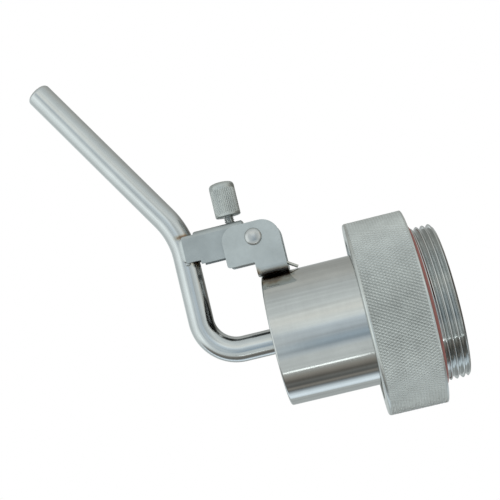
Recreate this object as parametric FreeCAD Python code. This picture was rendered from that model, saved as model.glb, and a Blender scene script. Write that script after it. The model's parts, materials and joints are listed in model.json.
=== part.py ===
# Self-closing drum tap with a swivelling outlet tube and a knurled G2 ring.
#
# Frame, in millimetres: the origin is on the tap's axis, in the plane where the
# gasket meets the drum. +X runs along the axis into the drum, +Z is up, and the
# handle stands in the XZ plane.
#
# How it works: pressing the handle turns the bent lever about the pivot rivet.
# Its lower end reaches into the outlet tube, where a cross pin in the slots of a
# fork pushes the valve off its seat, into the drum. The torsion spring closes it.

import FreeCAD, Part
import math
import os

from FreeCAD import Vector

# Standard pipe thread G2 on the drum side, drawn as its major cylinder
THREAD_MAJOR_D = 59.614
THREAD_LENGTH = 8.8
THREAD_END_CHAMFER = 0.8
THREAD_RELIEF_DEPTH = 1.8

# Threaded ring, turned from one piece with its thread
RING_D = 75.0
RING_WIDTH = 22.7
RING_REAR_BEVEL_X = 1.2
RING_REAR_BEVEL_R = 1.4
RING_FRONT_BEVEL = 0.8
RING_REAR_LIP = 0.8

# Gasket between ring and drum
GASKET_THICKNESS = 1.6
GASKET_D = 63.5
GASKET_BORE_CLEARANCE = 0.2

# Outlet tube
TUBE_D = 50.8
TUBE_WALL = 1.5
TUBE_REACH = 34.8
TUBE_RIM_CHAMFER = 0.3

# Swivel between tube and ring
SWIVEL_CLEARANCE = 0.05
SWIVEL_PLAY = 0.1
COLLAR_D = 61.0
COLLAR_WIDTH = 2.4
COLLAR_POCKET_CLEARANCE = 0.7
SWIVEL_WASHER_THICKNESS = 1.0
O_RING_HEIGHT = 2.5
O_RING_WIDTH = 3.0
O_RING_CORNER = 0.8
O_RING_GROOVE_WIDTH = 4.0
O_RING_COUNT = 2
O_RING_SPACING = 8.0
O_RING_FIRST_X_FROM_POCKET = 4.4

# Valve seat welded to the drum end of the tube
SEAT_BORE_D = 37.0
SEAT_SPIGOT_LENGTH = 4.0
SEAT_NECK_LENGTH = 2.5
SEAT_FLANGE_D = 53.4
SEAT_FLANGE_WIDTH = 3.4
SEAT_FLANGE_CLEARANCE = 0.3
SEAT_POCKET_D = 48.6
SEAT_POCKET_DEPTH = 5.4
SEAT_FLANGE_RECESS = 1.2

# Valve on its stem
SEAL_D = 45.0
SEAL_THICKNESS = 2.0
VALVE_DISC_D = 43.0
VALVE_DISC_RIM = 1.4
VALVE_DISC_HUB_D = 16.0
VALVE_DISC_THICKNESS = 2.4
PILOT_WASHER_D = 24.0
PILOT_WASHER_THICKNESS = 1.5
STEM_D = 8.0
STEM_THREAD_D = 6.0
STEM_THREAD_OVERHANG = 0.6
LOCK_WASHER_D = 11.8
LOCK_WASHER_THICKNESS = 0.8
NUT_ACROSS_FLATS = 10.0
NUT_HEIGHT = 2.4
FIT_CLEARANCE = 0.02

# Guide for the stem inside the tube
GUIDE_CENTRE_X = -18.6
GUIDE_HUB_D = 15.0
GUIDE_HUB_LENGTH = 10.0
GUIDE_RIM_WALL = 2.3
GUIDE_RIM_WIDTH = 5.0
GUIDE_ARM_WIDTH = 3.0
GUIDE_ARMS = 3
STEM_GUIDE_CLEARANCE = 0.05

# Fork on the stem's outlet end, and the cross pin that drives it
CROSS_PIN_D = 4.0
CROSS_PIN_FROM_TIP = 4.0
CROSS_PIN_OVERHANG = 0.7
FORK_SIDE_CLEARANCE = 0.3
FORK_CHEEK = 3.0
FORK_SLOT_CLEARANCE = 0.25
FORK_TIP_GAP = 2.0
FORK_BASE = 5.0
FORK_WALL = 3.0
FORK_CORNER_R = 2.0

# Lever: one bent rod
ROD_D = 10.0
ROD_REACH_IN_TUBE = 16.0
ROD_DROP_FROM_RIM = 27.0
ROD_LOWER_BEND_R = 14.0
ROD_UPPER_BEND_R = 32.0
ROD_UPPER_CORNER_Z = 49.1
ARM_LENGTH = 81.5
ARM_ANGLE = 58.1
ARM_TIP_CHAMFER = 1.5
ROD_TIP_CHAMFER = 1.0

# Pivot of the lever, measured from the tube's rim and axis
PIVOT_FROM_RIM = 1.1
PIVOT_Z = 40.8
LEVER_TRAVEL = 13.0
RIVET_D = 4.5
RIVET_HEAD_D = 6.7
RIVET_HEAD_HEIGHT = 1.5
RIVET_CLEARANCE = 0.05
BUSH_WALL = 0.95
BUSH_CLEARANCE = 0.05

# Sheet metal of the lever channel and the pivot bracket
SHEET = 1.5
CHANNEL_ROD_CLEARANCE = 0.1
CHANNEL_BRACKET_CLEARANCE = 0.3
CHANNEL_TOP_Z = 48.4
CHANNEL_BEND_R = 2.2
CHANNEL_LEFT_ON_ROD = 0.6
CHANNEL_CHEEK_TOP_DROP = 1.1
CHANNEL_WEB_ROD_GAP = 0.4
CHANNEL_WEB_END_BEFORE_PIVOT = 3.3
CHANNEL_BOTTOM_BELOW_PIVOT = 5.3
CHANNEL_CHEEK_RISE = 1.5
CHANNEL_CHEEK_STEP_FROM_ROD = 6.3
CHANNEL_CORNER_R = 0.8
CHANNEL_TOP_CORNER_R = 1.0

BRACKET_TOP_Z = 46.6
BRACKET_BEND_R = 3.5
BRACKET_BACK_FROM_RIM = 11.3
BRACKET_FOOT_OVERHANG = 0.6
BRACKET_NOSE_OVERHANG = 11.1
BRACKET_NOSE_BOTTOM_Z = 31.1
BRACKET_FRONT_R = 6.0
BRACKET_BACK_R = 7.0
BRACKET_SMALL_R = 1.0

# Lock screw through the channel's web, down onto a plate between the ears
SCREW_BEFORE_PIVOT = 8.1
SCREW_D = 4.0
SCREW_HOLE_CLEARANCE = 0.05
SCREW_NECK = 3.0
KNOB_D = 10.0
KNOB_HEIGHT = 13.8
KNOB_FOOT_CHAMFER = 0.8
KNOB_TOP_R = 2.2
KNOB_CROWN = 0.5
KNOB_SOCKET_DEPTH = 6.0
BOSS_D = 6.4
BOSS_HEIGHT = 3.2
LOCK_TRAVEL = 2.9
PAD_D = 5.2
PAD_HEIGHT = 2.5
PAD_SOCKET_DEPTH = 1.5
SCREW_TIP_D = 3.0
STOP_PLATE_LENGTH = 8.0
STOP_PLATE_INSET = 1.9
STOP_PLATE_LIFT = 0.1

# Torsion spring round the pivot bush
WIRE_D = 1.2
SPRING_BUSH_GAP = 0.4
SPRING_PITCH = 1.45
SPRING_TURNS = 4
SPRING_LEVER_LEG_Y = 3.6
SPRING_LEVER_LEG = 14.0
SPRING_SEAT_GAP = 0.05
SPRING_KINK_FROM_PIVOT = 7.8
SPRING_KINK_Z = 29.0
SPRING_KINK_R = 2.0
SPRING_FOOT_BEYOND_BRACKET = 3.6

# Places worked out from the sizes above
ring_face_x = -GASKET_THICKNESS
ring_rear_x = ring_face_x - RING_WIDTH
rim_x = ring_rear_x - TUBE_REACH
tube_r = TUBE_D / 2
tube_inner_r = tube_r - TUBE_WALL
ring_bore_r = tube_r + SWIVEL_CLEARANCE
pocket_floor_x = ring_rear_x + RING_REAR_LIP + COLLAR_WIDTH + SWIVEL_WASHER_THICKNESS
nipple_shoulder_x = THREAD_LENGTH - SEAT_FLANGE_RECESS - SEAT_FLANGE_WIDTH - SWIVEL_PLAY
seat_flange_x = nipple_shoulder_x + SWIVEL_PLAY
tube_end_x = seat_flange_x - SEAT_NECK_LENGTH
seat_end_x = seat_flange_x + SEAT_FLANGE_WIDTH
seat_face_x = seat_end_x - SEAT_POCKET_DEPTH
stem_shoulder_x = seat_face_x - PILOT_WASHER_THICKNESS
disc_x = seat_face_x + SEAL_THICKNESS
lock_washer_x = disc_x + VALVE_DISC_THICKNESS
nut_x = lock_washer_x + LOCK_WASHER_THICKNESS
stem_end_x = nut_x + NUT_HEIGHT + STEM_THREAD_OVERHANG

rod_r = ROD_D / 2
rod_tip_x = rim_x + ROD_REACH_IN_TUBE
rod_drop_x = rim_x - ROD_DROP_FROM_RIM
pin_x = rod_tip_x - CROSS_PIN_FROM_TIP
pivot_x = rim_x + PIVOT_FROM_RIM
screw_x = pivot_x - SCREW_BEFORE_PIVOT

channel_inner = rod_r + CHANNEL_ROD_CLEARANCE
channel_outer = channel_inner + SHEET
ear_inner = channel_outer + CHANNEL_BRACKET_CLEARANCE
ear_outer = ear_inner + SHEET
web_bottom_z = CHANNEL_TOP_Z - SHEET
rivet_hole_r = RIVET_D / 2 + RIVET_CLEARANCE
bush_r = rivet_hole_r + BUSH_WALL
stop_plate_x = rim_x - BRACKET_NOSE_OVERHANG + STOP_PLATE_INSET
stop_plate_z = BRACKET_NOSE_BOTTOM_Z + STOP_PLATE_LIFT
stop_plate_top_z = stop_plate_z + SHEET
pad_z = stop_plate_top_z + LOCK_TRAVEL
knob_z = CHANNEL_TOP_Z + SCREW_NECK

X_AXIS = Vector(1, 0, 0)
Y_AXIS = Vector(0, 1, 0)
Z_AXIS = Vector(0, 0, 1)


def turned(profile):
    """Solid of revolution about the tap's axis from (x, radius) points."""
    points = [Vector(x, 0, r) for x, r in profile]
    face = Part.Face(Part.makePolygon(points + points[:1]))
    return face.revolve(Vector(0, 0, 0), X_AXIS, 360)


def turned_upright(profile, x):
    """Solid of revolution about the vertical line at x, from (radius, z) points."""
    points = [Vector(x + r, 0, z) for r, z in profile]
    face = Part.Face(Part.makePolygon(points + points[:1]))
    return face.revolve(Vector(x, 0, 0), Z_AXIS, 360)


def sleeve(x_start, x_end, outer_r, inner_r):
    """Plain ring on the tap's axis."""
    return turned([(x_start, inner_r), (x_end, inner_r), (x_end, outer_r), (x_start, outer_r)])


def across(x, z, radius, half_length):
    """Cylinder along Y through (x, z)."""
    return Part.makeCylinder(radius, 2 * half_length, Vector(x, -half_length, z), Y_AXIS)


def upright(x, radius, z_low, z_high):
    """Vertical cylinder at x."""
    return Part.makeCylinder(radius, z_high - z_low, Vector(x, 0, z_low), Z_AXIS)


def block(x_low, x_high, half_width, z_low, z_high):
    """Box centred on the XZ plane."""
    corner = Vector(x_low, -half_width, z_low)
    return Part.makeBox(x_high - x_low, 2 * half_width, z_high - z_low, corner)


def rounded_wire(points, radii):
    """Straight runs between points, joined by tangent arcs of the given radii."""
    edges = []
    start = points[0]
    for corner, after, radius in zip(points[1:-1], points[2:], radii):
        way_in = (corner - start).normalize()
        way_out = (after - corner).normalize()
        half_turn = way_in.getAngle(way_out) / 2
        setback = radius * math.tan(half_turn)
        arc_start = corner - way_in * setback
        arc_end = corner + way_out * setback
        inward = (way_out - way_in).normalize()
        arc_middle = corner + inward * (radius / math.cos(half_turn) - radius)
        edges.append(Part.LineSegment(start, arc_start).toShape())
        edges.append(Part.Arc(arc_start, arc_middle, arc_end).toShape())
        start = arc_end
    edges.append(Part.LineSegment(start, points[-1]).toShape())
    return edges


def swept_round(edges, radius):
    """Round bar of the given radius along a chain of tangent edges."""
    start = edges[0].valueAt(edges[0].FirstParameter)
    heading = edges[0].tangentAt(edges[0].FirstParameter)
    section = Part.Face(Part.Wire(Part.makeCircle(radius, start, heading)))
    return Part.Wire(edges).makePipe(section)


def swept_wire(edges, radius):
    """Thin wire along a chain of tangent edges, its round section drawn with eight sides."""
    start = edges[0].valueAt(edges[0].FirstParameter)
    heading = edges[0].tangentAt(edges[0].FirstParameter)
    sideways = heading.cross(Y_AXIS).normalize()
    upwards = heading.cross(sideways)
    corners = []
    for i in range(9):
        angle = math.pi / 4 * i
        corners.append(start + sideways * (radius * math.cos(angle)) + upwards * (radius * math.sin(angle)))
    return Part.Wire(edges).makePipeShell([Part.makePolygon(corners)], True, False)


def edges_at(shape, centre, tolerance=0.01):
    """Circular edges of the shape that are centred on a point."""
    found = []
    for edge in shape.Edges:
        if isinstance(edge.Curve, Part.Circle) and edge.Curve.Center.distanceToPoint(centre) < tolerance:
            found.append(edge)
    return found


def side_profile(corners):
    """Face in the XZ plane from (x, z, corner radius) entries, with rounded corners."""
    edges = []
    count = len(corners)
    points = [Vector(x, 0, z) for x, z, _ in corners]
    trims = []
    for i in range(count):
        way_in = (points[i] - points[i - 1]).normalize()
        way_out = (points[(i + 1) % count] - points[i]).normalize()
        radius = corners[i][2]
        half_turn = way_in.getAngle(way_out) / 2
        setback = radius * math.tan(half_turn)
        inward = (way_out - way_in).normalize()
        middle = points[i] + inward * (radius / math.cos(half_turn) - radius)
        trims.append((points[i] - way_in * setback, middle, points[i] + way_out * setback))
    for i in range(count):
        arc_start, middle, arc_end = trims[i]
        if corners[i][2] > 0:
            edges.append(Part.Arc(arc_start, middle, arc_end).toShape())
        edges.append(Part.LineSegment(arc_end, trims[(i + 1) % count][0]).toShape())
    return Part.Face(Part.Wire(edges))


def extruded_across(face, half_width):
    """Extrude a face in the XZ plane to both sides of it."""
    face.translate(Vector(0, -half_width, 0))
    return face.extrude(Vector(0, 2 * half_width, 0))


def folded_sheet(outer_half, closed_z, open_z, bend_r, x_start, x_end):
    """Sheet folded to a U along X, with its web at closed_z and its sides up to open_z."""
    side = 1 if open_z > closed_z else -1
    inner_half = outer_half - SHEET
    inner_bend = bend_r - SHEET
    web_inner_z = closed_z + side * SHEET
    turn = math.sqrt(0.5)

    def point(y, z):
        return Vector(x_start, y, z)

    def corner(sign, half, z, radius):
        """Arc round the lower corner on one side, from the web to the side."""
        centre_y = sign * (half - radius)
        centre_z = z + side * radius
        first = point(centre_y, z)
        middle = point(centre_y + sign * radius * turn, centre_z - side * radius * turn)
        last = point(sign * half, centre_z)
        return first, middle, last

    a1, a2, a3 = corner(1, outer_half, closed_z, bend_r)
    b1, b2, b3 = corner(-1, outer_half, closed_z, bend_r)
    c1, c2, c3 = corner(1, inner_half, web_inner_z, inner_bend)
    d1, d2, d3 = corner(-1, inner_half, web_inner_z, inner_bend)
    lines = [
        (b1, a1),
        (a3, point(outer_half, open_z)),
        (point(outer_half, open_z), point(inner_half, open_z)),
        (point(inner_half, open_z), c3),
        (c1, d1),
        (d3, point(-inner_half, open_z)),
        (point(-inner_half, open_z), point(-outer_half, open_z)),
        (point(-outer_half, open_z), b3),
    ]
    edges = [Part.LineSegment(p, q).toShape() for p, q in lines]
    for arc in ((a1, a2, a3), (b1, b2, b3), (c1, c2, c3), (d1, d2, d3)):
        edges.append(Part.Arc(*arc).toShape())
    face = Part.Face(Part.Wire(Part.__sortEdges__(edges)))
    return face.extrude(Vector(x_end - x_start, 0, 0))


def o_ring_centres():
    """Places of the O-rings along the axis."""
    first = pocket_floor_x + O_RING_FIRST_X_FROM_POCKET
    return [first + i * O_RING_SPACING for i in range(O_RING_COUNT)]


def threaded_ring():
    """Knurled ring and threaded nipple, bored for the tube and counterbored at both ends."""
    ring_r = RING_D / 2
    thread_r = THREAD_MAJOR_D / 2
    relief_r = thread_r - THREAD_RELIEF_DEPTH
    pocket_r = COLLAR_D / 2 + COLLAR_POCKET_CLEARANCE
    flange_pocket_r = SEAT_FLANGE_D / 2 + SEAT_FLANGE_CLEARANCE
    body = turned([
        (ring_rear_x, pocket_r),
        (ring_rear_x, ring_r - RING_REAR_BEVEL_R),
        (ring_rear_x + RING_REAR_BEVEL_X, ring_r),
        (ring_face_x - RING_FRONT_BEVEL, ring_r),
        (ring_face_x, ring_r - RING_FRONT_BEVEL),
        (ring_face_x, relief_r),
        (0, relief_r),
        (0, thread_r),
        (THREAD_LENGTH - THREAD_END_CHAMFER, thread_r),
        (THREAD_LENGTH, thread_r - THREAD_END_CHAMFER),
        (THREAD_LENGTH, flange_pocket_r),
        (nipple_shoulder_x, flange_pocket_r),
        (nipple_shoulder_x, ring_bore_r),
        (pocket_floor_x, ring_bore_r),
        (pocket_floor_x, pocket_r),
    ])
    groove_r = ring_bore_r + O_RING_HEIGHT
    half = O_RING_GROOVE_WIDTH / 2
    for x in o_ring_centres():
        body = body.cut(sleeve(x - half, x + half, groove_r, ring_bore_r - SWIVEL_CLEARANCE))
    return body


def o_rings():
    """Two seals, squeezed flat between the ring's grooves and the tube."""
    inner_r = ring_bore_r
    outer_r = ring_bore_r + O_RING_HEIGHT
    half = O_RING_WIDTH / 2
    c = O_RING_CORNER
    rings = []
    for x in o_ring_centres():
        rings.append(turned([
            (x - half + c, inner_r),
            (x + half - c, inner_r),
            (x + half, inner_r + c),
            (x + half, outer_r - c),
            (x + half - c, outer_r),
            (x - half + c, outer_r),
            (x - half, outer_r - c),
            (x - half, inner_r + c),
        ]))
    return Part.makeCompound(rings)


def drum_gasket():
    """Flat gasket on the ring's front face, round the thread."""
    inner_r = THREAD_MAJOR_D / 2 + GASKET_BORE_CLEARANCE
    return sleeve(ring_face_x, 0, GASKET_D / 2, inner_r)


def swivel_washer():
    """Slip washer between the stop collar and the ring."""
    inner_r = tube_r + SWIVEL_PLAY
    return sleeve(pocket_floor_x - SWIVEL_WASHER_THICKNESS, pocket_floor_x, COLLAR_D / 2, inner_r)


def stop_collar():
    """Collar welded on the tube, which keeps the ring from sliding off."""
    end_x = pocket_floor_x - SWIVEL_WASHER_THICKNESS
    return sleeve(end_x - COLLAR_WIDTH, end_x, COLLAR_D / 2, tube_r + FIT_CLEARANCE)


def body_tube():
    """Outlet tube with a lightly broken rim."""
    c = TUBE_RIM_CHAMFER
    return turned([
        (rim_x, tube_inner_r + c),
        (rim_x, tube_r - c),
        (rim_x + c, tube_r),
        (tube_end_x, tube_r),
        (tube_end_x, tube_inner_r),
        (rim_x + c, tube_inner_r),
    ])


def seat_ring():
    """Valve seat, with a spigot in the tube and a flange in the nipple's counterbore."""
    bore_r = SEAT_BORE_D / 2
    spigot_r = tube_inner_r - FIT_CLEARANCE
    return turned([
        (tube_end_x - SEAT_SPIGOT_LENGTH, bore_r),
        (tube_end_x - SEAT_SPIGOT_LENGTH, spigot_r),
        (tube_end_x, spigot_r),
        (tube_end_x, tube_r),
        (seat_flange_x, tube_r),
        (seat_flange_x, SEAT_FLANGE_D / 2),
        (seat_end_x, SEAT_FLANGE_D / 2),
        (seat_end_x, SEAT_POCKET_D / 2),
        (seat_face_x, SEAT_POCKET_D / 2),
        (seat_face_x, bore_r),
    ])


def guide_spider():
    """Hub for the stem, carried on arms from a rim inside the tube."""
    hub_half = GUIDE_HUB_LENGTH / 2
    rim_half = GUIDE_RIM_WIDTH / 2
    rim_r = tube_inner_r - FIT_CLEARANCE
    hole_r = STEM_D / 2 + STEM_GUIDE_CLEARANCE
    rim_low = GUIDE_CENTRE_X - rim_half
    rim_high = GUIDE_CENTRE_X + rim_half
    rim = sleeve(rim_low, rim_high, rim_r, rim_r - GUIDE_RIM_WALL)
    hub = sleeve(GUIDE_CENTRE_X - hub_half, GUIDE_CENTRE_X + hub_half, GUIDE_HUB_D / 2, hole_r)
    arm_foot = (hole_r + GUIDE_HUB_D / 2) / 2
    arm_top = rim_r - GUIDE_RIM_WALL / 2
    spider = rim.fuse(hub)
    for i in range(GUIDE_ARMS):
        arm = block(rim_low, rim_high, GUIDE_ARM_WIDTH / 2, arm_foot, arm_top)
        arm.rotate(Vector(0, 0, 0), X_AXIS, 360 / GUIDE_ARMS * i)
        spider = spider.fuse(arm)
    return spider.removeSplitter()


def valve_stem():
    """Stem with a spigot in the fork, a shoulder for the valve and a thread for its nut."""
    stem_r = STEM_D / 2
    thread_r = STEM_THREAD_D / 2
    fork_socket_x = rod_tip_x + FORK_TIP_GAP + FORK_BASE / 2
    fork_end_x = rod_tip_x + FORK_TIP_GAP + FORK_BASE
    return turned([
        (fork_socket_x, 0),
        (fork_socket_x, thread_r),
        (fork_end_x, thread_r),
        (fork_end_x, stem_r),
        (stem_shoulder_x, stem_r),
        (stem_shoulder_x, thread_r),
        (stem_end_x - TUBE_RIM_CHAMFER, thread_r),
        (stem_end_x, thread_r - TUBE_RIM_CHAMFER),
        (stem_end_x, 0),
    ])


def pin_rise():
    """How far the cross pin climbs over the lever's whole travel."""
    angle = math.radians(LEVER_TRAVEL)
    return (pin_x - pivot_x) * math.sin(angle) + PIVOT_Z * (1 - math.cos(angle))


def pin_advance():
    """How far the cross pin pushes the valve over the lever's whole travel."""
    angle = math.radians(LEVER_TRAVEL)
    return (pin_x - pivot_x) * (math.cos(angle) - 1) + PIVOT_Z * math.sin(angle)


def stem_fork():
    """Fork with an upright slot in each cheek for the cross pin."""
    slot_r = CROSS_PIN_D / 2 + FORK_SLOT_CLEARANCE
    slot_low = -FORK_SLOT_CLEARANCE
    slot_high = pin_rise() + FORK_SLOT_CLEARANCE
    inner = rod_r + FORK_SIDE_CLEARANCE
    outer = inner + FORK_CHEEK
    front_x = pin_x - slot_r - FORK_WALL
    base_x = rod_tip_x + FORK_TIP_GAP
    end_x = base_x + FORK_BASE
    low_z = slot_low - slot_r - FORK_WALL
    high_z = slot_high + slot_r + FORK_WALL
    outline = side_profile([
        (front_x, low_z, FORK_CORNER_R),
        (end_x, low_z, FORK_CORNER_R),
        (end_x, high_z, FORK_CORNER_R),
        (front_x, high_z, FORK_CORNER_R),
    ])
    fork = extruded_across(outline, outer)
    fork = fork.cut(block(front_x - 1, base_x, inner, low_z - 1, high_z + 1))
    slot = across(pin_x, slot_low, slot_r, outer + 1)
    slot = slot.fuse(across(pin_x, slot_high, slot_r, outer + 1))
    slot = slot.fuse(block(pin_x - slot_r, pin_x + slot_r, outer + 1, slot_low, slot_high))
    socket_r = STEM_THREAD_D / 2 + FIT_CLEARANCE
    socket = Part.makeCylinder(socket_r, FORK_BASE, Vector(base_x, 0, 0), X_AXIS)
    return fork.cut(slot).cut(socket).removeSplitter()


def cross_pin():
    """Pin through the lever's lower end, riding in the fork's slots."""
    half = rod_r + FORK_SIDE_CLEARANCE + FORK_CHEEK + CROSS_PIN_OVERHANG
    pin = across(pin_x, 0, CROSS_PIN_D / 2, half)
    ends = [e for e in pin.Edges if isinstance(e.Curve, Part.Circle)]
    return pin.makeChamfer(CROSS_PIN_OVERHANG / 2, ends)


def washer_on_stem(x, thickness, diameter):
    """Flat round piece on the stem's thread."""
    return sleeve(x, x + thickness, diameter / 2, STEM_THREAD_D / 2 + FIT_CLEARANCE)


def valve_disc():
    """Pressed disc that backs the seal, thick at its hub and thin at its rim."""
    bore_r = STEM_THREAD_D / 2 + FIT_CLEARANCE
    end_x = disc_x + VALVE_DISC_THICKNESS
    return turned([
        (disc_x, bore_r),
        (end_x, bore_r),
        (end_x, VALVE_DISC_HUB_D / 2),
        (disc_x + VALVE_DISC_RIM, VALVE_DISC_D / 2),
        (disc_x, VALVE_DISC_D / 2),
    ])


def stem_nut():
    """Thin hexagon nut on the drum end of the stem."""
    corner_r = NUT_ACROSS_FLATS / 2 / math.cos(math.pi / 6)
    corners = []
    for i in range(7):
        angle = math.pi / 3 * i
        corners.append(Vector(nut_x, corner_r * math.sin(angle), corner_r * math.cos(angle)))
    prism = Part.Face(Part.makePolygon(corners)).extrude(Vector(NUT_HEIGHT, 0, 0))
    bore_r = STEM_THREAD_D / 2 + FIT_CLEARANCE
    return prism.cut(Part.makeCylinder(bore_r, NUT_HEIGHT, Vector(nut_x, 0, 0), X_AXIS))


def rod_points():
    """Corners of the lever's centre line, from the tip in the tube to the hand end."""
    angle = math.radians(ARM_ANGLE)
    upper = Vector(rod_drop_x, 0, ROD_UPPER_CORNER_Z)
    hand = upper + Vector(-math.cos(angle), 0, math.sin(angle)) * ARM_LENGTH
    return [Vector(rod_tip_x, 0, 0), Vector(rod_drop_x, 0, 0), upper, hand]


def lever_rod():
    """Handle and valve arm, bent from one bar."""
    points = rod_points()
    rod = swept_round(rounded_wire(points, [ROD_LOWER_BEND_R, ROD_UPPER_BEND_R]), rod_r)
    rod = rod.makeFillet(ARM_TIP_CHAMFER, edges_at(rod, points[-1]))
    rod = rod.makeChamfer(ROD_TIP_CHAMFER, edges_at(rod, points[0]))
    return rod.cut(across(pin_x, 0, CROSS_PIN_D / 2 + FIT_CLEARANCE, ROD_D))


def lever_channel():
    """Folded channel that carries the lever: welded to the rod, turning on the pivot bush."""
    left_x = rod_drop_x + CHANNEL_LEFT_ON_ROD
    web_left_x = rod_drop_x + rod_r + CHANNEL_WEB_ROD_GAP
    step_x = rod_drop_x + CHANNEL_CHEEK_STEP_FROM_ROD
    web_right_x = pivot_x - CHANNEL_WEB_END_BEFORE_PIVOT
    bottom_z = PIVOT_Z - CHANNEL_BOTTOM_BELOW_PIVOT
    cheek_z = bottom_z + CHANNEL_CHEEK_RISE
    cheek_top_z = CHANNEL_TOP_Z - CHANNEL_CHEEK_TOP_DROP
    end_r = CHANNEL_BOTTOM_BELOW_PIVOT
    nose_x = pivot_x + end_r
    nose_top_z = PIVOT_Z + end_r
    outline = side_profile([
        (left_x, cheek_z, CHANNEL_CORNER_R),
        (step_x, cheek_z, 0),
        (step_x, bottom_z, 0),
        (nose_x, bottom_z, end_r - FIT_CLEARANCE),
        (nose_x, nose_top_z, end_r - FIT_CLEARANCE),
        (web_right_x, nose_top_z, 0),
        (web_right_x, CHANNEL_TOP_Z, 0),
        (web_left_x, CHANNEL_TOP_Z, CHANNEL_TOP_CORNER_R),
        (web_left_x, cheek_top_z, 0),
        (left_x, cheek_top_z, CHANNEL_CORNER_R),
    ])
    start_x = left_x - SHEET
    end_x = nose_x + SHEET
    sheet = folded_sheet(channel_outer, CHANNEL_TOP_Z, bottom_z - SHEET, CHANNEL_BEND_R, start_x, end_x)
    channel = sheet.common(extruded_across(outline, channel_outer))
    channel = channel.cut(block(left_x, web_left_x, channel_inner, web_bottom_z - SHEET, CHANNEL_TOP_Z))
    channel = channel.cut(across(pivot_x, PIVOT_Z, bush_r + BUSH_CLEARANCE, ear_outer))
    hole = upright(screw_x, SCREW_D / 2 + SCREW_HOLE_CLEARANCE, web_bottom_z - SHEET, CHANNEL_TOP_Z + SHEET)
    return channel.cut(hole).removeSplitter()


def pivot_bracket():
    """Folded bracket welded on the tube, with a nose that overhangs the rim."""
    back_x = rim_x + BRACKET_BACK_FROM_RIM
    foot_x = rim_x - BRACKET_FOOT_OVERHANG
    nose_x = rim_x - BRACKET_NOSE_OVERHANG
    outline = side_profile([
        (foot_x, tube_r, 0),
        (back_x, tube_r, 0),
        (back_x, BRACKET_TOP_Z, BRACKET_BACK_R),
        (nose_x, BRACKET_TOP_Z, BRACKET_FRONT_R),
        (nose_x, BRACKET_NOSE_BOTTOM_Z, BRACKET_SMALL_R),
        (foot_x, BRACKET_NOSE_BOTTOM_Z, BRACKET_SMALL_R / 2),
    ])
    start_x = nose_x - SHEET
    end_x = back_x + SHEET
    sheet = folded_sheet(ear_outer, tube_r, BRACKET_TOP_Z + SHEET, BRACKET_BEND_R, start_x, end_x)
    bracket = sheet.common(extruded_across(outline, ear_outer))
    return bracket.cut(across(pivot_x, PIVOT_Z, rivet_hole_r, ear_outer + SHEET)).removeSplitter()


def lock_stop_plate():
    """Plate between the bracket's ears, under the lock screw."""
    return block(stop_plate_x, stop_plate_x + STOP_PLATE_LENGTH, ear_inner, stop_plate_z, stop_plate_top_z)


def pivot_bush():
    """Spacer between the ears, on which the channel turns."""
    outer = across(pivot_x, PIVOT_Z, bush_r, ear_inner)
    return outer.cut(across(pivot_x, PIVOT_Z, rivet_hole_r, ear_inner))


def pivot_rivet():
    """Rivet through ears and bush, with a domed head on each side."""
    shank = across(pivot_x, PIVOT_Z, RIVET_D / 2, ear_outer)
    head_r = RIVET_HEAD_D / 2
    dome_r = (head_r ** 2 + RIVET_HEAD_HEIGHT ** 2) / (2 * RIVET_HEAD_HEIGHT)
    rivet = shank
    for side in (-1, 1):
        centre_y = side * (ear_outer + RIVET_HEAD_HEIGHT - dome_r)
        dome = Part.makeSphere(dome_r, Vector(pivot_x, centre_y, PIVOT_Z))
        low_y = min(side * ear_outer, side * (ear_outer + RIVET_HEAD_HEIGHT))
        start = Vector(pivot_x, low_y, PIVOT_Z)
        slab = Part.makeCylinder(dome_r, RIVET_HEAD_HEIGHT, start, Y_AXIS)
        rivet = rivet.fuse(dome.common(slab))
    return rivet.removeSplitter()


def screw_boss():
    """Tapped boss under the channel's web."""
    hole_r = SCREW_D / 2 + SCREW_HOLE_CLEARANCE
    low_z = web_bottom_z - BOSS_HEIGHT
    boss = upright(screw_x, BOSS_D / 2, low_z, web_bottom_z)
    return boss.cut(upright(screw_x, hole_r, low_z, web_bottom_z))


def lock_screw_shank():
    """Threaded shank from inside the knob down to the pad."""
    top_z = knob_z + KNOB_SOCKET_DEPTH
    neck_z = pad_z + PAD_HEIGHT
    tip_z = neck_z - PAD_SOCKET_DEPTH
    return turned_upright([
        (0, tip_z),
        (SCREW_TIP_D / 2, tip_z),
        (SCREW_TIP_D / 2, neck_z),
        (SCREW_D / 2, neck_z),
        (SCREW_D / 2, top_z),
        (0, top_z),
    ], screw_x)


def lock_screw_knob():
    """Finger knob with a crowned top and a socket for the shank."""
    knob_r = KNOB_D / 2
    top_z = knob_z + KNOB_HEIGHT
    socket_r = SCREW_D / 2 + FIT_CLEARANCE
    body = upright(screw_x, knob_r, knob_z, top_z - KNOB_CROWN)
    body = body.makeChamfer(KNOB_FOOT_CHAMFER, edges_at(body, Vector(screw_x, 0, knob_z)))
    body = body.makeFillet(KNOB_TOP_R, edges_at(body, Vector(screw_x, 0, top_z - KNOB_CROWN)))
    flat_r = knob_r - KNOB_TOP_R
    crown_r = (flat_r ** 2 + KNOB_CROWN ** 2) / (2 * KNOB_CROWN)
    crown = Part.makeSphere(crown_r, Vector(screw_x, 0, top_z - crown_r))
    crown = crown.common(upright(screw_x, knob_r, top_z - KNOB_CROWN, top_z))
    body = body.fuse(crown)
    return body.cut(upright(screw_x, socket_r, knob_z, knob_z + KNOB_SOCKET_DEPTH))


def lock_screw_pad():
    """Pressure pad on the screw's tip: it travels with the screw and need not turn with it."""
    body = upright(screw_x, PAD_D / 2, pad_z, pad_z + PAD_HEIGHT)
    socket_r = SCREW_TIP_D / 2 + SCREW_HOLE_CLEARANCE
    low_z = pad_z + PAD_HEIGHT - PAD_SOCKET_DEPTH
    return body.cut(upright(screw_x, socket_r, low_z, pad_z + PAD_HEIGHT))


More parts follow.
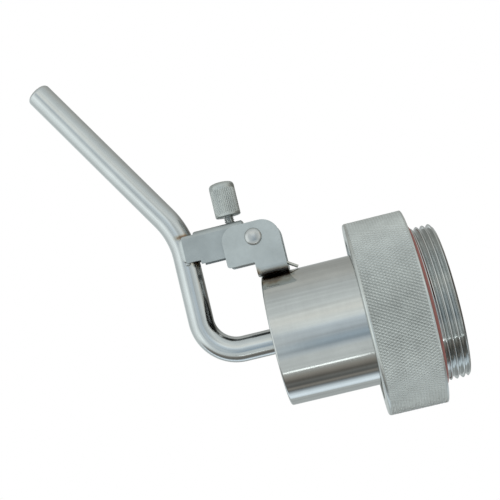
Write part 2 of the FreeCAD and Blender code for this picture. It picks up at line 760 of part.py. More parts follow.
def tangent_angle(centre_x, centre_z, radius, x, z):
    """Angle on a circle where a line from (x, z) touches it, on the side that a wire leaves clockwise."""
    dx = x - centre_x
    dz = z - centre_z
    reach = math.hypot(dx, dz)
    return math.atan2(dz, dx) + math.acos(radius / reach)


def torsion_spring():
    """Coil round the pivot bush, one leg under the channel's web and one on the tube."""
    wire_r = WIRE_D / 2
    coil_r = bush_r + SPRING_BUSH_GAP + wire_r
    kink_x = pivot_x + SPRING_KINK_FROM_PIVOT
    foot_angle = tangent_angle(pivot_x, PIVOT_Z, coil_r, kink_x, SPRING_KINK_Z)
    rise = web_bottom_z - SPRING_SEAT_GAP - wire_r - PIVOT_Z
    tilt = math.asin((rise - coil_r) / SPRING_LEVER_LEG)
    lever_angle = math.pi / 2 - tilt + 2 * math.pi * SPRING_TURNS
    y_per_radian = SPRING_PITCH / (2 * math.pi)
    foot_y = SPRING_LEVER_LEG_Y - y_per_radian * (lever_angle - foot_angle)

    def on_coil(angle):
        y = foot_y + y_per_radian * (angle - foot_angle)
        return Vector(pivot_x + coil_r * math.cos(angle), y, PIVOT_Z + coil_r * math.sin(angle))

    def heading(angle):
        way = Vector(-coil_r * math.sin(angle), y_per_radian, coil_r * math.cos(angle))
        return way.normalize()

    coil_start = on_coil(foot_angle)
    coil_end = on_coil(lever_angle)
    reach = math.hypot(kink_x - coil_start.x, SPRING_KINK_Z - coil_start.z)
    kink = coil_start - heading(foot_angle) * reach
    foot_x = rim_x + BRACKET_BACK_FROM_RIM + SPRING_FOOT_BEYOND_BRACKET
    foot_z = math.sqrt(tube_r ** 2 - kink.y ** 2) + SPRING_SEAT_GAP + wire_r
    foot = Vector(foot_x, kink.y, foot_z)
    edges = rounded_wire([foot, kink, coil_start], [SPRING_KINK_R])
    coil = Part.makeHelix(SPRING_PITCH, coil_end.y - coil_start.y, coil_r, 0, True)
    coil.rotate(Vector(0, 0, 0), Z_AXIS, math.degrees(lever_angle))
    coil.translate(Vector(0, 0, -coil_end.y))
    coil.rotate(Vector(0, 0, 0), X_AXIS, 90)
    coil.translate(Vector(pivot_x, 0, PIVOT_Z))
    edges += coil.Edges
    leg_end = coil_end + heading(lever_angle) * SPRING_LEVER_LEG
    edges.append(Part.LineSegment(coil_end, leg_end).toShape())
    return swept_wire(edges, wire_r)


def build():
    """Every node of the tap, by name."""
    return {
        "threaded_ring": threaded_ring(),
        "drum_gasket": drum_gasket(),
        "swivel_o_rings": o_rings(),
        "swivel_washer": swivel_washer(),
        "stop_collar": stop_collar(),
        "body_tube": body_tube(),
        "seat_ring": seat_ring(),
        "guide_spider": guide_spider(),
        "pivot_bracket": pivot_bracket(),
        "lock_stop_plate": lock_stop_plate(),
        "pivot_bush": pivot_bush(),
        "pivot_rivet": pivot_rivet(),
        "torsion_spring": torsion_spring(),
        "lever_rod": lever_rod(),
        "lever_channel": lever_channel(),
        "cross_pin": cross_pin(),
        "screw_boss": screw_boss(),
        "lock_screw_pad": lock_screw_pad(),
        "lock_screw_shank": lock_screw_shank(),
        "lock_screw_knob": lock_screw_knob(),
        "stem_fork": stem_fork(),
        "valve_stem": valve_stem(),
        "pilot_washer": washer_on_stem(stem_shoulder_x, PILOT_WASHER_THICKNESS, PILOT_WASHER_D),
        "valve_seal": washer_on_stem(seat_face_x, SEAL_THICKNESS, SEAL_D),
        "valve_disc": valve_disc(),
        "stem_lock_washer": washer_on_stem(lock_washer_x, LOCK_WASHER_THICKNESS, LOCK_WASHER_D),
        "stem_nut": stem_nut(),
    }


def main():
    os.makedirs("parts", exist_ok=True)
    for name, shape in build().items():
        shape.exportStep(f"parts/{name}.step")
        print(name, len(shape.Solids), round(shape.Volume, 1), shape.isValid())
    print("valve travel", round(pin_advance(), 3), "pin rise", round(pin_rise(), 3))


main()
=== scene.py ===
# %% [markdown]
# # A self-closing drum tap
# The tap screws into a drum with its knurled ring. A bent steel rod is its handle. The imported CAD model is
# the frame of this scene: it says where every piece is and what moves. Each visible piece is then made
# again here, finer than the CAD could be, as a surface worked out with numpy.

import json
import math

import bmesh
import bpy
import numpy as np
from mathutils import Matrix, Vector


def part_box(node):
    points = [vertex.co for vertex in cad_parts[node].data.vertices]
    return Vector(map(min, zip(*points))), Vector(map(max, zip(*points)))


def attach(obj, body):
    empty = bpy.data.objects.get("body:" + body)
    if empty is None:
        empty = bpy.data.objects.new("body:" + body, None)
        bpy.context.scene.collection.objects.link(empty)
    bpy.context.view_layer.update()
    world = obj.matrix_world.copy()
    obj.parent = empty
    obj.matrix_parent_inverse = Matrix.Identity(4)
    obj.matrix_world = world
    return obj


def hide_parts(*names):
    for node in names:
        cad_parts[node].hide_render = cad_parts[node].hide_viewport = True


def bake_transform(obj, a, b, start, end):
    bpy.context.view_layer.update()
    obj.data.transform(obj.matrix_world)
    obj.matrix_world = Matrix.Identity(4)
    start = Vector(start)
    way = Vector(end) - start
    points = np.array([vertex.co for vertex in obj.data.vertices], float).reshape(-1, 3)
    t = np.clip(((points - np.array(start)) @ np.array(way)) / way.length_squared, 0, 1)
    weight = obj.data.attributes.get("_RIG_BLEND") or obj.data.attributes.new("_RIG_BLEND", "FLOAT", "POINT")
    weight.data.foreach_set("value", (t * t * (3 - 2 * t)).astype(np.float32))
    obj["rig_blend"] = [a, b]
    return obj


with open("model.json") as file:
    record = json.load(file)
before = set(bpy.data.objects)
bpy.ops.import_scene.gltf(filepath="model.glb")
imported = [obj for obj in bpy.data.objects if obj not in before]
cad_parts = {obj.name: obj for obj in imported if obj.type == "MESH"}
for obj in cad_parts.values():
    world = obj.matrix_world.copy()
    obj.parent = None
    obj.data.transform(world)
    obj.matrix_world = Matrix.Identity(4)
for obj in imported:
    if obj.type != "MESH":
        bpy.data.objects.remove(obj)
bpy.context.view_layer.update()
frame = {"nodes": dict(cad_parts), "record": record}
scene = bpy.context.scene

# %% [markdown]
# All sizes are in millimetres, in the frame of the CAD: X along the tap's axis into the drum, Y across, Z
# up. They could all be typed in again, but then a piece could end up where its CAD solid isn't. So what the
# CAD knows is read from its nodes' boxes and its joints, and only what it doesn't say is a number here.

# %% Sizes from the frame
MM = 0.001
X, Y, Z = 0, 1, 2


def ends(node, axis):
    """Lowest and highest coordinate of a CAD node along an axis, in mm."""
    return [round(corner[axis] / MM, 3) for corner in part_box(node)]


def joint_place(name):
    """Point on a joint's axis, in mm."""
    joint = next(j for j in frame["record"]["behaviour"]["joints"] if j["name"] == name)
    return np.round(np.array(joint["pos_m"]) / MM, 3)


def turned_size(node, axis, centre=(0, 0, 0)):
    """Start and end along the axis, and greatest radius about it, of a round CAD node."""
    across = [(axis + 1) % 3, (axis + 2) % 3]
    return *ends(node, axis), round(max(ends(node, k)[1] - centre[k] for k in across), 3)


RIM_X, TUBE_END, TUBE_R = turned_size("body_tube", X)
RING_REAR, THREAD_END, RING_R = turned_size("threaded_ring", X)
RING_FRONT, GASKET_FACE = ends("drum_gasket", X)
PIVOT = joint_place("lever_pivot")
SCREW = joint_place("lock_screw_spin") * (1, 1, 0)
print("tube from", RIM_X, "to", TUBE_END, "and", 2 * TUBE_R, "across, pivot at", PIVOT)

# %% [markdown]
# The camera stands in front of the tap, a little below the lever, and is rolled, so that the tap's axis
# climbs to the right in the picture. Its turn, roll and tilt were fitted to the photograph's outlines. It
# looks at a point above the tube's left end from 382 mm away. A Track To constraint could aim it, but
# couldn't roll it as well, so its matrix is worked out from its three directions.

# %% Camera
LENS_MM, SENSOR_MM = 71.06, 36.0
CAMERA_DISTANCE = 382.0
YAW, ROLL, TILT = math.radians(-4.21), math.radians(13.955), math.radians(4.0)
CAMERA_TARGET = np.array([-60.78, 0.0, 36.55])

level_view = np.array([math.sin(YAW), math.cos(YAW), 0.0])
level_right = np.array([math.cos(YAW), -math.sin(YAW), 0.0])
level_up = np.cross(level_right, level_view)
tilt_about_x = np.array([
    [1.0, 0.0, 0.0],
    [0.0, math.cos(TILT), -math.sin(TILT)],
    [0.0, math.sin(TILT), math.cos(TILT)],
])
camera_right = tilt_about_x @ (level_right * math.cos(ROLL) - level_up * math.sin(ROLL))
camera_up = tilt_about_x @ (level_right * math.sin(ROLL) + level_up * math.cos(ROLL))
camera_view = tilt_about_x @ level_view
camera_place = tilt_about_x @ (CAMERA_TARGET - level_view * CAMERA_DISTANCE) * MM

camera_matrix = np.eye(4)
camera_matrix[:3, :3] = np.column_stack([camera_right, camera_up, -camera_view])
camera_matrix[:3, 3] = camera_place
camera = bpy.data.objects.new("camera", bpy.data.cameras.new("camera"))
camera.data.lens = LENS_MM
camera.data.sensor_width = SENSOR_MM
scene.collection.objects.link(camera)
camera.matrix_world = camera_matrix.T.tolist()
scene.camera = camera
scene.view_settings.view_transform = "Standard"
print("camera at", camera_place.round(4))

# %% [markdown]
# A shader is built from nodes. In the editor they are wired by hand, and in a script each one takes several
# lines. These helpers make one node, fill or link its inputs and hand back its output, which keeps every
# material below short enough to read.

# %% Node helpers


def add(tree, kind, inputs=(), **options):
    """Adds a node, sets its options, and gives each input a value or another node's output."""
    made = tree.nodes.new(kind)
    for option, value in options.items():
        setattr(made, option, value)
    for socket, value in dict(inputs).items():
        if isinstance(value, bpy.types.NodeSocket):
            tree.links.new(value, made.inputs[socket])
        else:
            made.inputs[socket].default_value = value
    return made


def math_node(tree, operation, *values, clamp=False):
    """Output of a Math node, with its inputs in order."""
    made = add(tree, "ShaderNodeMath", dict(enumerate(values)), operation=operation, use_clamp=clamp)
    return made.outputs[0]


def vector_math(tree, operation, *values):
    """Output of a Vector Math node, with its inputs in order. A length comes out as a number."""
    made = add(tree, "ShaderNodeVectorMath", dict(enumerate(values)), operation=operation)
    return made.outputs["Value" if operation == "LENGTH" else "Vector"]


def spread(tree, value, start, end, low=0.0, high=1.0, smooth=False):
    """Goes from low to high as value goes from start to end, and stays level outside."""
    made = add(tree, "ShaderNodeMapRange", {0: value, 1: start, 2: end, 3: low, 4: high},
               interpolation_type="SMOOTHSTEP" if smooth else "LINEAR")
    return made.outputs[0]


def noise(tree, place, scale, detail, roughness=0.5):
    """Soft random number that changes with the place."""
    made = add(tree, "ShaderNodeTexNoise", {"Vector": place, "Scale": scale, "Detail": detail,
                                            "Roughness": roughness})
    return made.outputs[0]


def mix_colours(tree, amount, first, second):
    """Colour that goes from first to second as amount goes from 0 to 1. A Mix node's colours are its inputs 6
    and 7."""
    return add(tree, "ShaderNodeMix", {0: amount, 6: first, 7: second}, data_type="RGBA").outputs[2]


def ramp(tree, value, stops):
    """Colour Ramp over (position, colour) stops."""
    made = add(tree, "ShaderNodeValToRGB", {0: value})
    elements = made.color_ramp.elements
    while len(elements) < len(stops):
        elements.new(1.0)
    for element, (position, colour) in zip(elements, stops):
        element.position = position
        element.color = (*colour, 1.0)
    return made.outputs[0]


def camera_sees(tree, output, lit, seen):
    """Ends a tree with two shaders: light meets the first, and the camera sees the second."""
    is_camera = add(tree, "ShaderNodeLightPath").outputs["Is Camera Ray"]
    both = add(tree, "ShaderNodeMixShader", {0: is_camera, 1: lit.outputs[0], 2: seen.outputs[0]})
    add(tree, output, {0: both.outputs[0]})


def new_material(name):
    """Material with an empty node tree."""
    material = bpy.data.materials.new(name)
    material.use_nodes = True
    material.node_tree.nodes.clear()
    return material, material.node_tree


# Nearly all of a noise lies between these
NOISE_LOW, NOISE_HIGH = 0.3, 0.7
print("noise is used from", NOISE_LOW, "to", NOISE_HIGH)

# %% [markdown]
# Polished steel shows the room more than itself. The photograph's bands on the tube say what the room was
# like: a broad soft light in front and above, a dim ceiling behind it, a dark table edge below, and one
# bluish bright strip under that. Area lights could make such a room, but each band would need its own, and
# their edges would be hard to place. So the room is written down as bands of brightness by direction.

# %% Bands of the room
ROOM_STRENGTH = 1.6
COOL, PLAIN, WARM = (0.93, 1.0, 1.0), (0.97, 1.0, 0.96), (1.05, 1.0, 0.90)
BLUE, DEEP_BLUE = (0.88, 1.0, 1.08), (0.81, 1.0, 1.15)
# Angle about the tap's axis from straight ahead (up is positive), brightness and tint
ROUND_THE_AXIS = [
    (-180, 0.56, COOL), (-160, 0.52, COOL), (-140, 0.60, COOL), (-126, 0.72, COOL), (-124, 1.20, BLUE),
    (-120, 1.52, BLUE), (-114, 1.30, BLUE), (-109, 1.05, BLUE), (-104, 0.50, BLUE), (-100, 0.20, PLAIN),
    (-95, 0.40, WARM), (-91, 0.16, PLAIN), (-85, 0.25, PLAIN), (-79, 0.18, WARM), (-70, 0.36, WARM),
    (-62, 0.58, PLAIN), (-58, 0.90, COOL), (-36, 0.94, COOL), (-28, 0.76, BLUE), (-22, 0.52, DEEP_BLUE),
    (-15, 0.66, DEEP_BLUE), (-7, 0.70, BLUE), (1, 0.87, BLUE), (8, 1.04, BLUE), (15, 1.28, COOL),
    (28, 1.20, PLAIN), (48, 1.00, COOL), (75, 0.83, COOL), (100, 0.72, PLAIN), (125, 0.58, PLAIN),
    (150, 0.48, PLAIN), (180, 0.56, COOL),
]
# Angle about the upright from straight ahead (right is positive), for what is level with the tap
ROUND_THE_UPRIGHT = [
    (-180, 0.95, COOL), (-153, 1.00, COOL), (-135, 0.85, COOL), (-118, 0.82, COOL), (-100, 0.95, COOL),
    (-84, 1.18, COOL), (-68, 1.34, COOL), (-53, 1.50, COOL), (-43, 1.25, COOL), (-34, 1.05, COOL),
    (-25, 0.78, BLUE), (-17, 0.96, COOL), (0, 0.95, COOL), (4, 0.62, BLUE), (11, 0.52, BLUE),
    (16, 0.72, COOL), (30, 0.88, COOL), (44, 1.04, COOL), (60, 1.06, PLAIN), (70, 0.68, WARM),
    (86, 0.34, WARM), (98, 0.15, WARM), (112, 0.10, WARM), (126, 0.16, WARM), (142, 0.22, WARM),
    (160, 0.40, PLAIN), (172, 0.80, COOL), (180, 0.95, COOL),
]


def room_stops(bands):
    """Ramp stops from bands, with the angle from -180 to 180 degrees laid on 0 to 1."""
    stops = []
    for angle, brightness, tint in bands:
        stops.append(((angle + 180) / 360, [brightness * t / ROOM_STRENGTH for t in tint]))
    return stops


print("room bands:", len(ROUND_THE_AXIS), "and", len(ROUND_THE_UPRIGHT))

# %% [markdown]
# The bands go on the world, which lights the tap from every side. The bands round the axis hold nearly
# everywhere. The other ones take over well to the side and not high up, where the upright drop of the rod
# looks. A real room is never even, so a little streaky clutter lies over both.

# %% Room light
SIDE_FROM, SIDE_FULL = 0.1, 0.35
LEVEL_UNTIL, HIGH_FROM = 0.3, 0.6
CLUTTER = 0.10
CLUTTER_ALONG, CLUTTER_ROUND = 3.0, 70.0

world = bpy.data.worlds.new("studio")
scene.world = world
world.use_nodes = True
tree = world.node_tree
tree.nodes.clear()
looked_at = add(tree, "ShaderNodeTexCoord").outputs["Generated"]
direction = add(tree, "ShaderNodeSeparateXYZ", {0: looked_at}).outputs
ahead = math_node(tree, "MULTIPLY", direction[Y], -1.0)
about_axis = spread(tree, math_node(tree, "ARCTAN2", direction[Z], ahead), -math.pi, math.pi)
about_upright = spread(tree, math_node(tree, "ARCTAN2", direction[X], ahead), -math.pi, math.pi)
sideways = spread(tree, math_node(tree, "ABSOLUTE", direction[X]), SIDE_FROM, SIDE_FULL, smooth=True)
not_high = spread(tree, math_node(tree, "ABSOLUTE", direction[Z]), HIGH_FROM, LEVEL_UNTIL, smooth=True)
room = mix_colours(tree, math_node(tree, "MULTIPLY", sideways, not_high),
                   ramp(tree, about_axis, room_stops(ROUND_THE_AXIS)),
                   ramp(tree, about_upright, room_stops(ROUND_THE_UPRIGHT)))
streaks = add(tree, "ShaderNodeCombineXYZ", {X: math_node(tree, "MULTIPLY", direction[X], CLUTTER_ALONG),
                                             Y: math_node(tree, "MULTIPLY", about_axis, CLUTTER_ROUND)})
clutter = noise(tree, streaks.outputs[0], scale=1.0, detail=3.0)
uneven = spread(tree, clutter, NOISE_LOW, NOISE_HIGH, 1 - CLUTTER, 1 + CLUTTER)
print("world nodes:", len(tree.nodes))

# %% [markdown]
# Two thin lamps hang at the lower edge of the front light. One draws the fine bright line along the tube
# and should end before it reaches the ring, the other puts the white glints on the thread. Each is a narrow
# band about the axis, cut off where its sideways directions end. Seen straight by the camera the world is
# plain white, as the photograph's background is.

# %% Lamps
LAMP_ANGLE, LAMP_HALF_WIDTH, LAMP_CORE = -58.6, 1.3, 0.6
# Sideways direction where each lamp starts and ends, how softly it does both, and its brightness
LAMPS = [(-0.23, -0.048, 0.03, 0.006, 4.2), (0.06, 0.46, 0.02, 0.02, 8.4)]

from_lamp = math_node(tree, "MULTIPLY_ADD", about_axis, 360.0, -180.0 - LAMP_ANGLE)
lamp_band = spread(tree, math_node(tree, "ABSOLUTE", from_lamp), LAMP_HALF_WIDTH, LAMP_HALF_WIDTH * LAMP_CORE)
lamps = 0.0
for start, end, soft_start, soft_end, strength in LAMPS:
    span = math_node(tree, "MULTIPLY", spread(tree, direction[X], start, start + soft_start),
                     spread(tree, direction[X], end, end - soft_end))
    lamps = math_node(tree, "MULTIPLY_ADD", span, strength, lamps)
brightness = math_node(tree, "MULTIPLY", uneven, ROOM_STRENGTH)
brightness = math_node(tree, "MULTIPLY_ADD", lamp_band, lamps, brightness)
lit = add(tree, "ShaderNodeBackground", {"Color": room, "Strength": brightness})
white = add(tree, "ShaderNodeBackground", {"Color": (1, 1, 1, 1), "Strength": 1.0})
camera_sees(tree, "ShaderNodeOutputWorld", lit, white)
print("lamps:", len(LAMPS))

# %% [markdown]
# The photograph has no floor and no shadow. The pale floor stands in for a table top and sends some light
# back up. The camera sees it as white as the background, and reflections pass through it, because the bands
# of the room already hold the table's dark edge.

# %% Floor
FLOOR_Z, FLOOR_HALF = -0.12, 3.0
PALE = (0.85, 0.85, 0.85, 1)
floor_corners = [(x * FLOOR_HALF, y * FLOOR_HALF, FLOOR_Z) for x, y in ((-1, -1), (1, -1), (1, 1), (-1, 1))]
floor_mesh = bpy.data.meshes.new("floor")
floor_mesh.from_pydata(floor_corners, [], [(0, 1, 2, 3)])
floor = bpy.data.objects.new("floor", floor_mesh)
scene.collection.objects.link(floor)
floor.visible_glossy = False
floor.visible_shadow = False
pale, tree = new_material("pale_floor")
camera_sees(tree, "ShaderNodeOutputMaterial", add(tree, "ShaderNodeBsdfDiffuse", {"Color": PALE}),
            add(tree, "ShaderNodeEmission", {"Color": (1, 1, 1, 1), "Strength": 1.0}))
floor_mesh.materials.append(pale)
print("floor at", FLOOR_Z, "m")

# %% [markdown]
# Three effects come back in many of the finishes. Written out in each material they would soon differ, so
# each is a node group with its own inputs. The first is tool lines, the fine rings that a lathe or belt
# leaves: noise that changes quickly one way and hardly at all the other, which needs no picture of
# scratches.

# %% Tool lines
NUMBER, VECTOR, COLOUR = "NodeSocketFloat", "NodeSocketVector", "NodeSocketColor"


def new_group(name, inputs, outputs):
    """Empty node group with the given inputs, as name to (kind, value), and outputs, as name to kind.
    The second result is what the group is given."""
    group = bpy.data.node_groups.new(name, "ShaderNodeTree")
    for socket, (kind, value) in inputs.items():
        group.interface.new_socket(socket, in_out="INPUT", socket_type=kind).default_value = value
    for socket, kind in outputs.items():
        group.interface.new_socket(socket, in_out="OUTPUT", socket_type=kind)
    return group, group.nodes.new("NodeGroupInput").outputs


tool_lines, given = new_group("tool_lines", {"Place": (VECTOR, (0, 0, 0)), "Stretch": (VECTOR, (1, 1, 1))},
                              {"Lines": NUMBER, "Soft": NUMBER})
stretched = vector_math(tool_lines, "MULTIPLY", given["Place"], given["Stretch"])
add(tool_lines, "NodeGroupOutput", {
    "Lines": noise(tool_lines, stretched, scale=1.0, detail=3.0, roughness=0.65),
    "Soft": noise(tool_lines, stretched, scale=0.13, detail=2.0),
})
print("tool_lines:", len(tool_lines.nodes), "nodes")

# %% [markdown]
# The second is handling marks, the faint clouds, specks and scratches of used steel. The specks are the
# middles of Voronoi cells, kept only where a broad noise is high, so that they come in small flocks.

# %% Handling marks
CLOUD_SCALE, SPECK_SCALE, FLOCK_SCALE = 130.0, 260.0, 90.0
SPECK_EDGE, SPECK_CORE = 0.16, 0.05
FLOCK_FROM, FLOCK_FULL = 0.60, 0.68
SCRATCH_TURN, SCRATCH_STRETCH = (0.4, 0.9, 0.3), (900, 900, 26)
SCRATCH_FROM, SCRATCH_FULL = 0.70, 0.78

handling, given = new_group("handling_marks", {"Place": (VECTOR, (0, 0, 0))},
                            {"Clouds": NUMBER, "Specks": NUMBER, "Scratches": NUMBER})
place = given["Place"]
from_cell = add(handling, "ShaderNodeTexVoronoi", {"Vector": place, "Scale": SPECK_SCALE}).outputs["Distance"]
in_speck = spread(handling, from_cell, SPECK_EDGE, SPECK_CORE)
in_flock = spread(handling, noise(handling, place, FLOCK_SCALE, detail=0.0), FLOCK_FROM, FLOCK_FULL)
slanted = add(handling, "ShaderNodeMapping", {"Vector": place, "Rotation": SCRATCH_TURN,
                                              "Scale": SCRATCH_STRETCH}).outputs[0]
scratches = noise(handling, slanted, scale=1.0, detail=1.0)
add(handling, "NodeGroupOutput", {
    "Clouds": noise(handling, place, CLOUD_SCALE, detail=4.0, roughness=0.6),
    "Specks": math_node(handling, "MULTIPLY", in_speck, in_flock),
    "Scratches": spread(handling, scratches, SCRATCH_FROM, SCRATCH_FULL),
})
print("handling_marks:", len(handling.nodes), "nodes")

# %% [markdown]
# The third is heat tint, the straw to brown and black that steel takes beside a weld. The same group also
# paints shade: the crevice under the bracket's foot and part of the dark under the channel are painted shade,
# and the bracket's dark reflection on the tube is a painted reflection. It could be painted on each piece,
# but a formula is easier to move: the distance from a centre, measured in a reach for each axis and made
# ragged by noise, gives a mask, and the mask picks the colour.

# %% Heat tint and painted shade
RAGGED_SCALE, RAGGED = 420.0, 0.8
FULL_TINT_WITHIN, TINT_COVER = 0.1, 2.2
# The ramp's black end also serves as painted shade
BURNT_AND_SHADE_COLOURS = [(0.0, (0.48, 0.47, 0.43)), (0.25, (0.42, 0.37, 0.29)), (0.48, (0.28, 0.21, 0.15)),
                 (0.68, (0.12, 0.07, 0.05)), (1.0, (0.02, 0.015, 0.015))]

heat_tint_and_shade, given = new_group("heat_tint_and_shade", {
    "Place": (VECTOR, (0, 0, 0)), "Centre": (VECTOR, (0, 0, 0)), "Reach": (VECTOR, (1, 1, 1)),
    "Strength": (NUMBER, 1.0), "Clean Colour": (COLOUR, (0.5, 0.5, 0.5, 1)),
}, {"Colour": COLOUR})
offset = vector_math(heat_tint_and_shade, "SUBTRACT", given["Place"], given["Centre"])
distance = vector_math(heat_tint_and_shade, "LENGTH", vector_math(heat_tint_and_shade, "DIVIDE", offset, given["Reach"]))
ragged = noise(heat_tint_and_shade, given["Place"], RAGGED_SCALE, detail=3.0)
ragged = math_node(heat_tint_and_shade, "MULTIPLY_ADD", ragged, RAGGED, -RAGGED / 2)
near = spread(heat_tint_and_shade, math_node(heat_tint_and_shade, "ADD", distance, ragged), 1.0, FULL_TINT_WITHIN)
mask = math_node(heat_tint_and_shade, "MULTIPLY", near, given["Strength"])
cover = math_node(heat_tint_and_shade, "MULTIPLY", mask, TINT_COVER, clamp=True)
burnt_and_shade = ramp(heat_tint_and_shade, mask, BURNT_AND_SHADE_COLOURS)
add(heat_tint_and_shade, "NodeGroupOutput", {"Colour": mix_colours(heat_tint_and_shade, cover, given["Clean Colour"], burnt_and_shade)})
print("groups:", [group.name for group in bpy.data.node_groups])

# %% [markdown]
# Each finish is one material. The metal ones share a recipe: a base colour that the clouds and specks vary
# a little, a roughness that follows the tool lines, and a faint bump from the same lines. What differs is
# which way the lines run, how strong they are and how rough the metal is. So the recipe is one function,
# and a finish is one call of it.

# %% Recipe for steel
DARK_CLOUDS = 2.2
SOFT_LINES, SOFT_LINE_SHADE = 0.25, 0.8
SPECK_COLOUR = (0.09, 0.08, 0.07, 1)
SCRATCH_ROUGHNESS = 0.08
CLOUD_HEIGHT, BUMP_DISTANCE = 0.4, 0.0002
# The bore's dark colour is painted shade, for the inside of the tube where little light gets in
BORE_SHADE_COLOUR, BORE_SHADE_COVER = (0.13, 0.125, 0.10, 1), 0.8
BORE_ROUGHNESS, BORE_EDGE = 0.45, 0.4


def times(colour, factor):
    """Opaque colour, scaled by a factor."""
    return (*(c * factor for c in colour), 1)


def place_on_bar(tree):
    """Place on a bent bar, straightened: the distance along it on X, and its circle on Y and Z."""
    along = add(tree, "ShaderNodeAttribute", attribute_name="along").outputs["Fac"]
    around = add(tree, "ShaderNodeAttribute", attribute_name="around").outputs["Vector"]
    return vector_math(tree, "ADD", add(tree, "ShaderNodeCombineXYZ", {X: along}).outputs[0], around)


def within_bore(tree, place, radius):
    """Mask that is 1 nearer to the X axis than the radius in mm."""
    from_axis = vector_math(tree, "LENGTH", vector_math(tree, "MULTIPLY", place, (0, 1, 1)))
    return spread(tree, from_axis, (radius + BORE_EDGE) * MM, radius * MM)


def steel(name, colour, roughness, lines, line_depth, cloudiness, specks=0.15, roughness_spread=0.1, tints=(),
          along_bar=False, turned_gloss=0.0, dull_and_shaded_within=0.0):
    """Metal whose colour and gloss vary with tool lines and handling marks. lines stretches the noise of the
    tool lines along X, Y and Z. Tints are (centre, reach, strength) in mm: heat tints, and in some finishes
    painted shade or a painted reflection. turned_gloss makes the metal glossier where the attribute of that
    name is 1. The last argument is the radius in mm of a bore about the X axis that was left rough, and whose
    darker colour there is painted shade."""
    material, tree = new_material(name)
    place = add(tree, "ShaderNodeTexCoord").outputs["Object"]
    grain = {"Place": place_on_bar(tree) if along_bar else place, "Stretch": lines}
    grain = add(tree, "ShaderNodeGroup", grain, node_tree=tool_lines).outputs
    marks = add(tree, "ShaderNodeGroup", {"Place": place}, node_tree=handling).outputs

    base = mix_colours(tree, spread(tree, marks["Clouds"], NOISE_LOW, NOISE_HIGH),
                       times(colour, 1 - DARK_CLOUDS * cloudiness), times(colour, 1 + cloudiness))
    base = mix_colours(tree, math_node(tree, "MULTIPLY", grain["Soft"], SOFT_LINES), base,
                       times(colour, SOFT_LINE_SHADE))
    base = mix_colours(tree, math_node(tree, "MULTIPLY", marks["Specks"], specks), base, SPECK_COLOUR)
    for centre, reach, strength in tints:
        tint = {"Place": place, "Centre": [c * MM for c in centre], "Reach": [r * MM for r in reach],
                "Strength": strength, "Clean Colour": base}
        base = add(tree, "ShaderNodeGroup", tint, node_tree=heat_tint_and_shade).outputs["Colour"]

    least = roughness - roughness_spread
    rough = math_node(tree, "MULTIPLY_ADD", grain["Lines"], 2 * roughness_spread, least)
    rough = math_node(tree, "MULTIPLY_ADD", marks["Scratches"], SCRATCH_ROUGHNESS, rough)
    if turned_gloss:
        glossier = add(tree, "ShaderNodeAttribute", attribute_name="turned_gloss").outputs["Fac"]
        rough = math_node(tree, "MULTIPLY_ADD", glossier, -turned_gloss, rough)
    # Inside the bore the metal is rougher, and its colour is darkened as painted shade
    if dull_and_shaded_within:
        inside = within_bore(tree, place, dull_and_shaded_within)
        rough = math_node(tree, "MULTIPLY_ADD", inside, BORE_ROUGHNESS, rough)
        base = mix_colours(tree, math_node(tree, "MULTIPLY", inside, BORE_SHADE_COVER), base, BORE_SHADE_COLOUR)

    height = math_node(tree, "MULTIPLY_ADD", marks["Clouds"], CLOUD_HEIGHT, grain["Lines"])
    bump = add(tree, "ShaderNodeBump", {"Height": height, "Strength": line_depth, "Distance": BUMP_DISTANCE})
    shader = add(tree, "ShaderNodeBsdfPrincipled", {"Base Color": base, "Roughness": rough, "Metallic": 1.0,
                                                    "Normal": bump.outputs[0]})
    add(tree, "ShaderNodeOutputMaterial", {0: shader.outputs[0]})
    return material


print("dark clouds go", DARK_CLOUDS, "times as far from the colour as light ones")

# %% [markdown]
# The finishes go from the mirror-like tube to the matte sheet. The tube and the bracket share the painted
# shade of the crevice between them, so both have the same dark tint in the same place. The tube is also
# darkened where the bracket is mirrored in it, a painted reflection. The rod is tinted above and below the
# channel, where its welds end: above it is heat tint, below it partly heat tint and partly painted shadow of
# the channel. The channel and the stop plate are made darker than the bracket as painted shade.

# %% Steel finishes
EVEN, FINE = (700, 700, 700), (900, 900, 900)
# Heat tints and painted shade: centre and reach in mm, and strength
FOOT_TINT = ((-60.8, -8.0, 27.0), (3.6, 4.0, 2.4), 0.62)
# Painted shade: the black crevice where the bracket's foot meets the tube, on both pieces
CREVICE_SHADE = ((-53.2, -6.4, 24.5), (8.6, 4.6, 1.7), 1.9)
# Painted reflection: darkens the tube where the bracket's ear is mirrored in it
BRACKET_REFLECTION_SHADE = ((-54.0, -11.0, 22.8), (11.0, 8.0, 3.6), 0.58)
UPPER_TINT = ((-85.2, -4.0, 47.6), (4.2, 4.4, 1.5), 0.66)
# Partly heat tint where the weld ends, and partly painted shadow under the channel's edge
LOWER_TINT_AND_SHADE = ((-82.6, -2.5, 36.6), (2.4, 6.0, 1.8), 0.55)

tube_finish = steel("lathe_polished_tube", (0.50, 0.505, 0.495), 0.085, (5200, 30, 30), line_depth=0.03,
                    cloudiness=0.03, specks=0.05, roughness_spread=0.03, tints=[BRACKET_REFLECTION_SHADE, CREVICE_SHADE],
                    dull_and_shaded_within=24.2)
ring_finish = steel("matte_knurled_ring", (0.545, 0.56, 0.545), 0.44, FINE, line_depth=0.05, cloudiness=0.06,
                    specks=0.35, turned_gloss=0.14)
thread_finish = steel("cut_thread", (0.54, 0.555, 0.55), 0.07, (2600, 60, 60), line_depth=0.015,
                      cloudiness=0.04, roughness_spread=0.04)
sheet_finish = steel("matte_sheet", (0.50, 0.525, 0.52), 0.44, EVEN, line_depth=0.08, cloudiness=0.06,
                     specks=0.10, tints=[FOOT_TINT, CREVICE_SHADE])
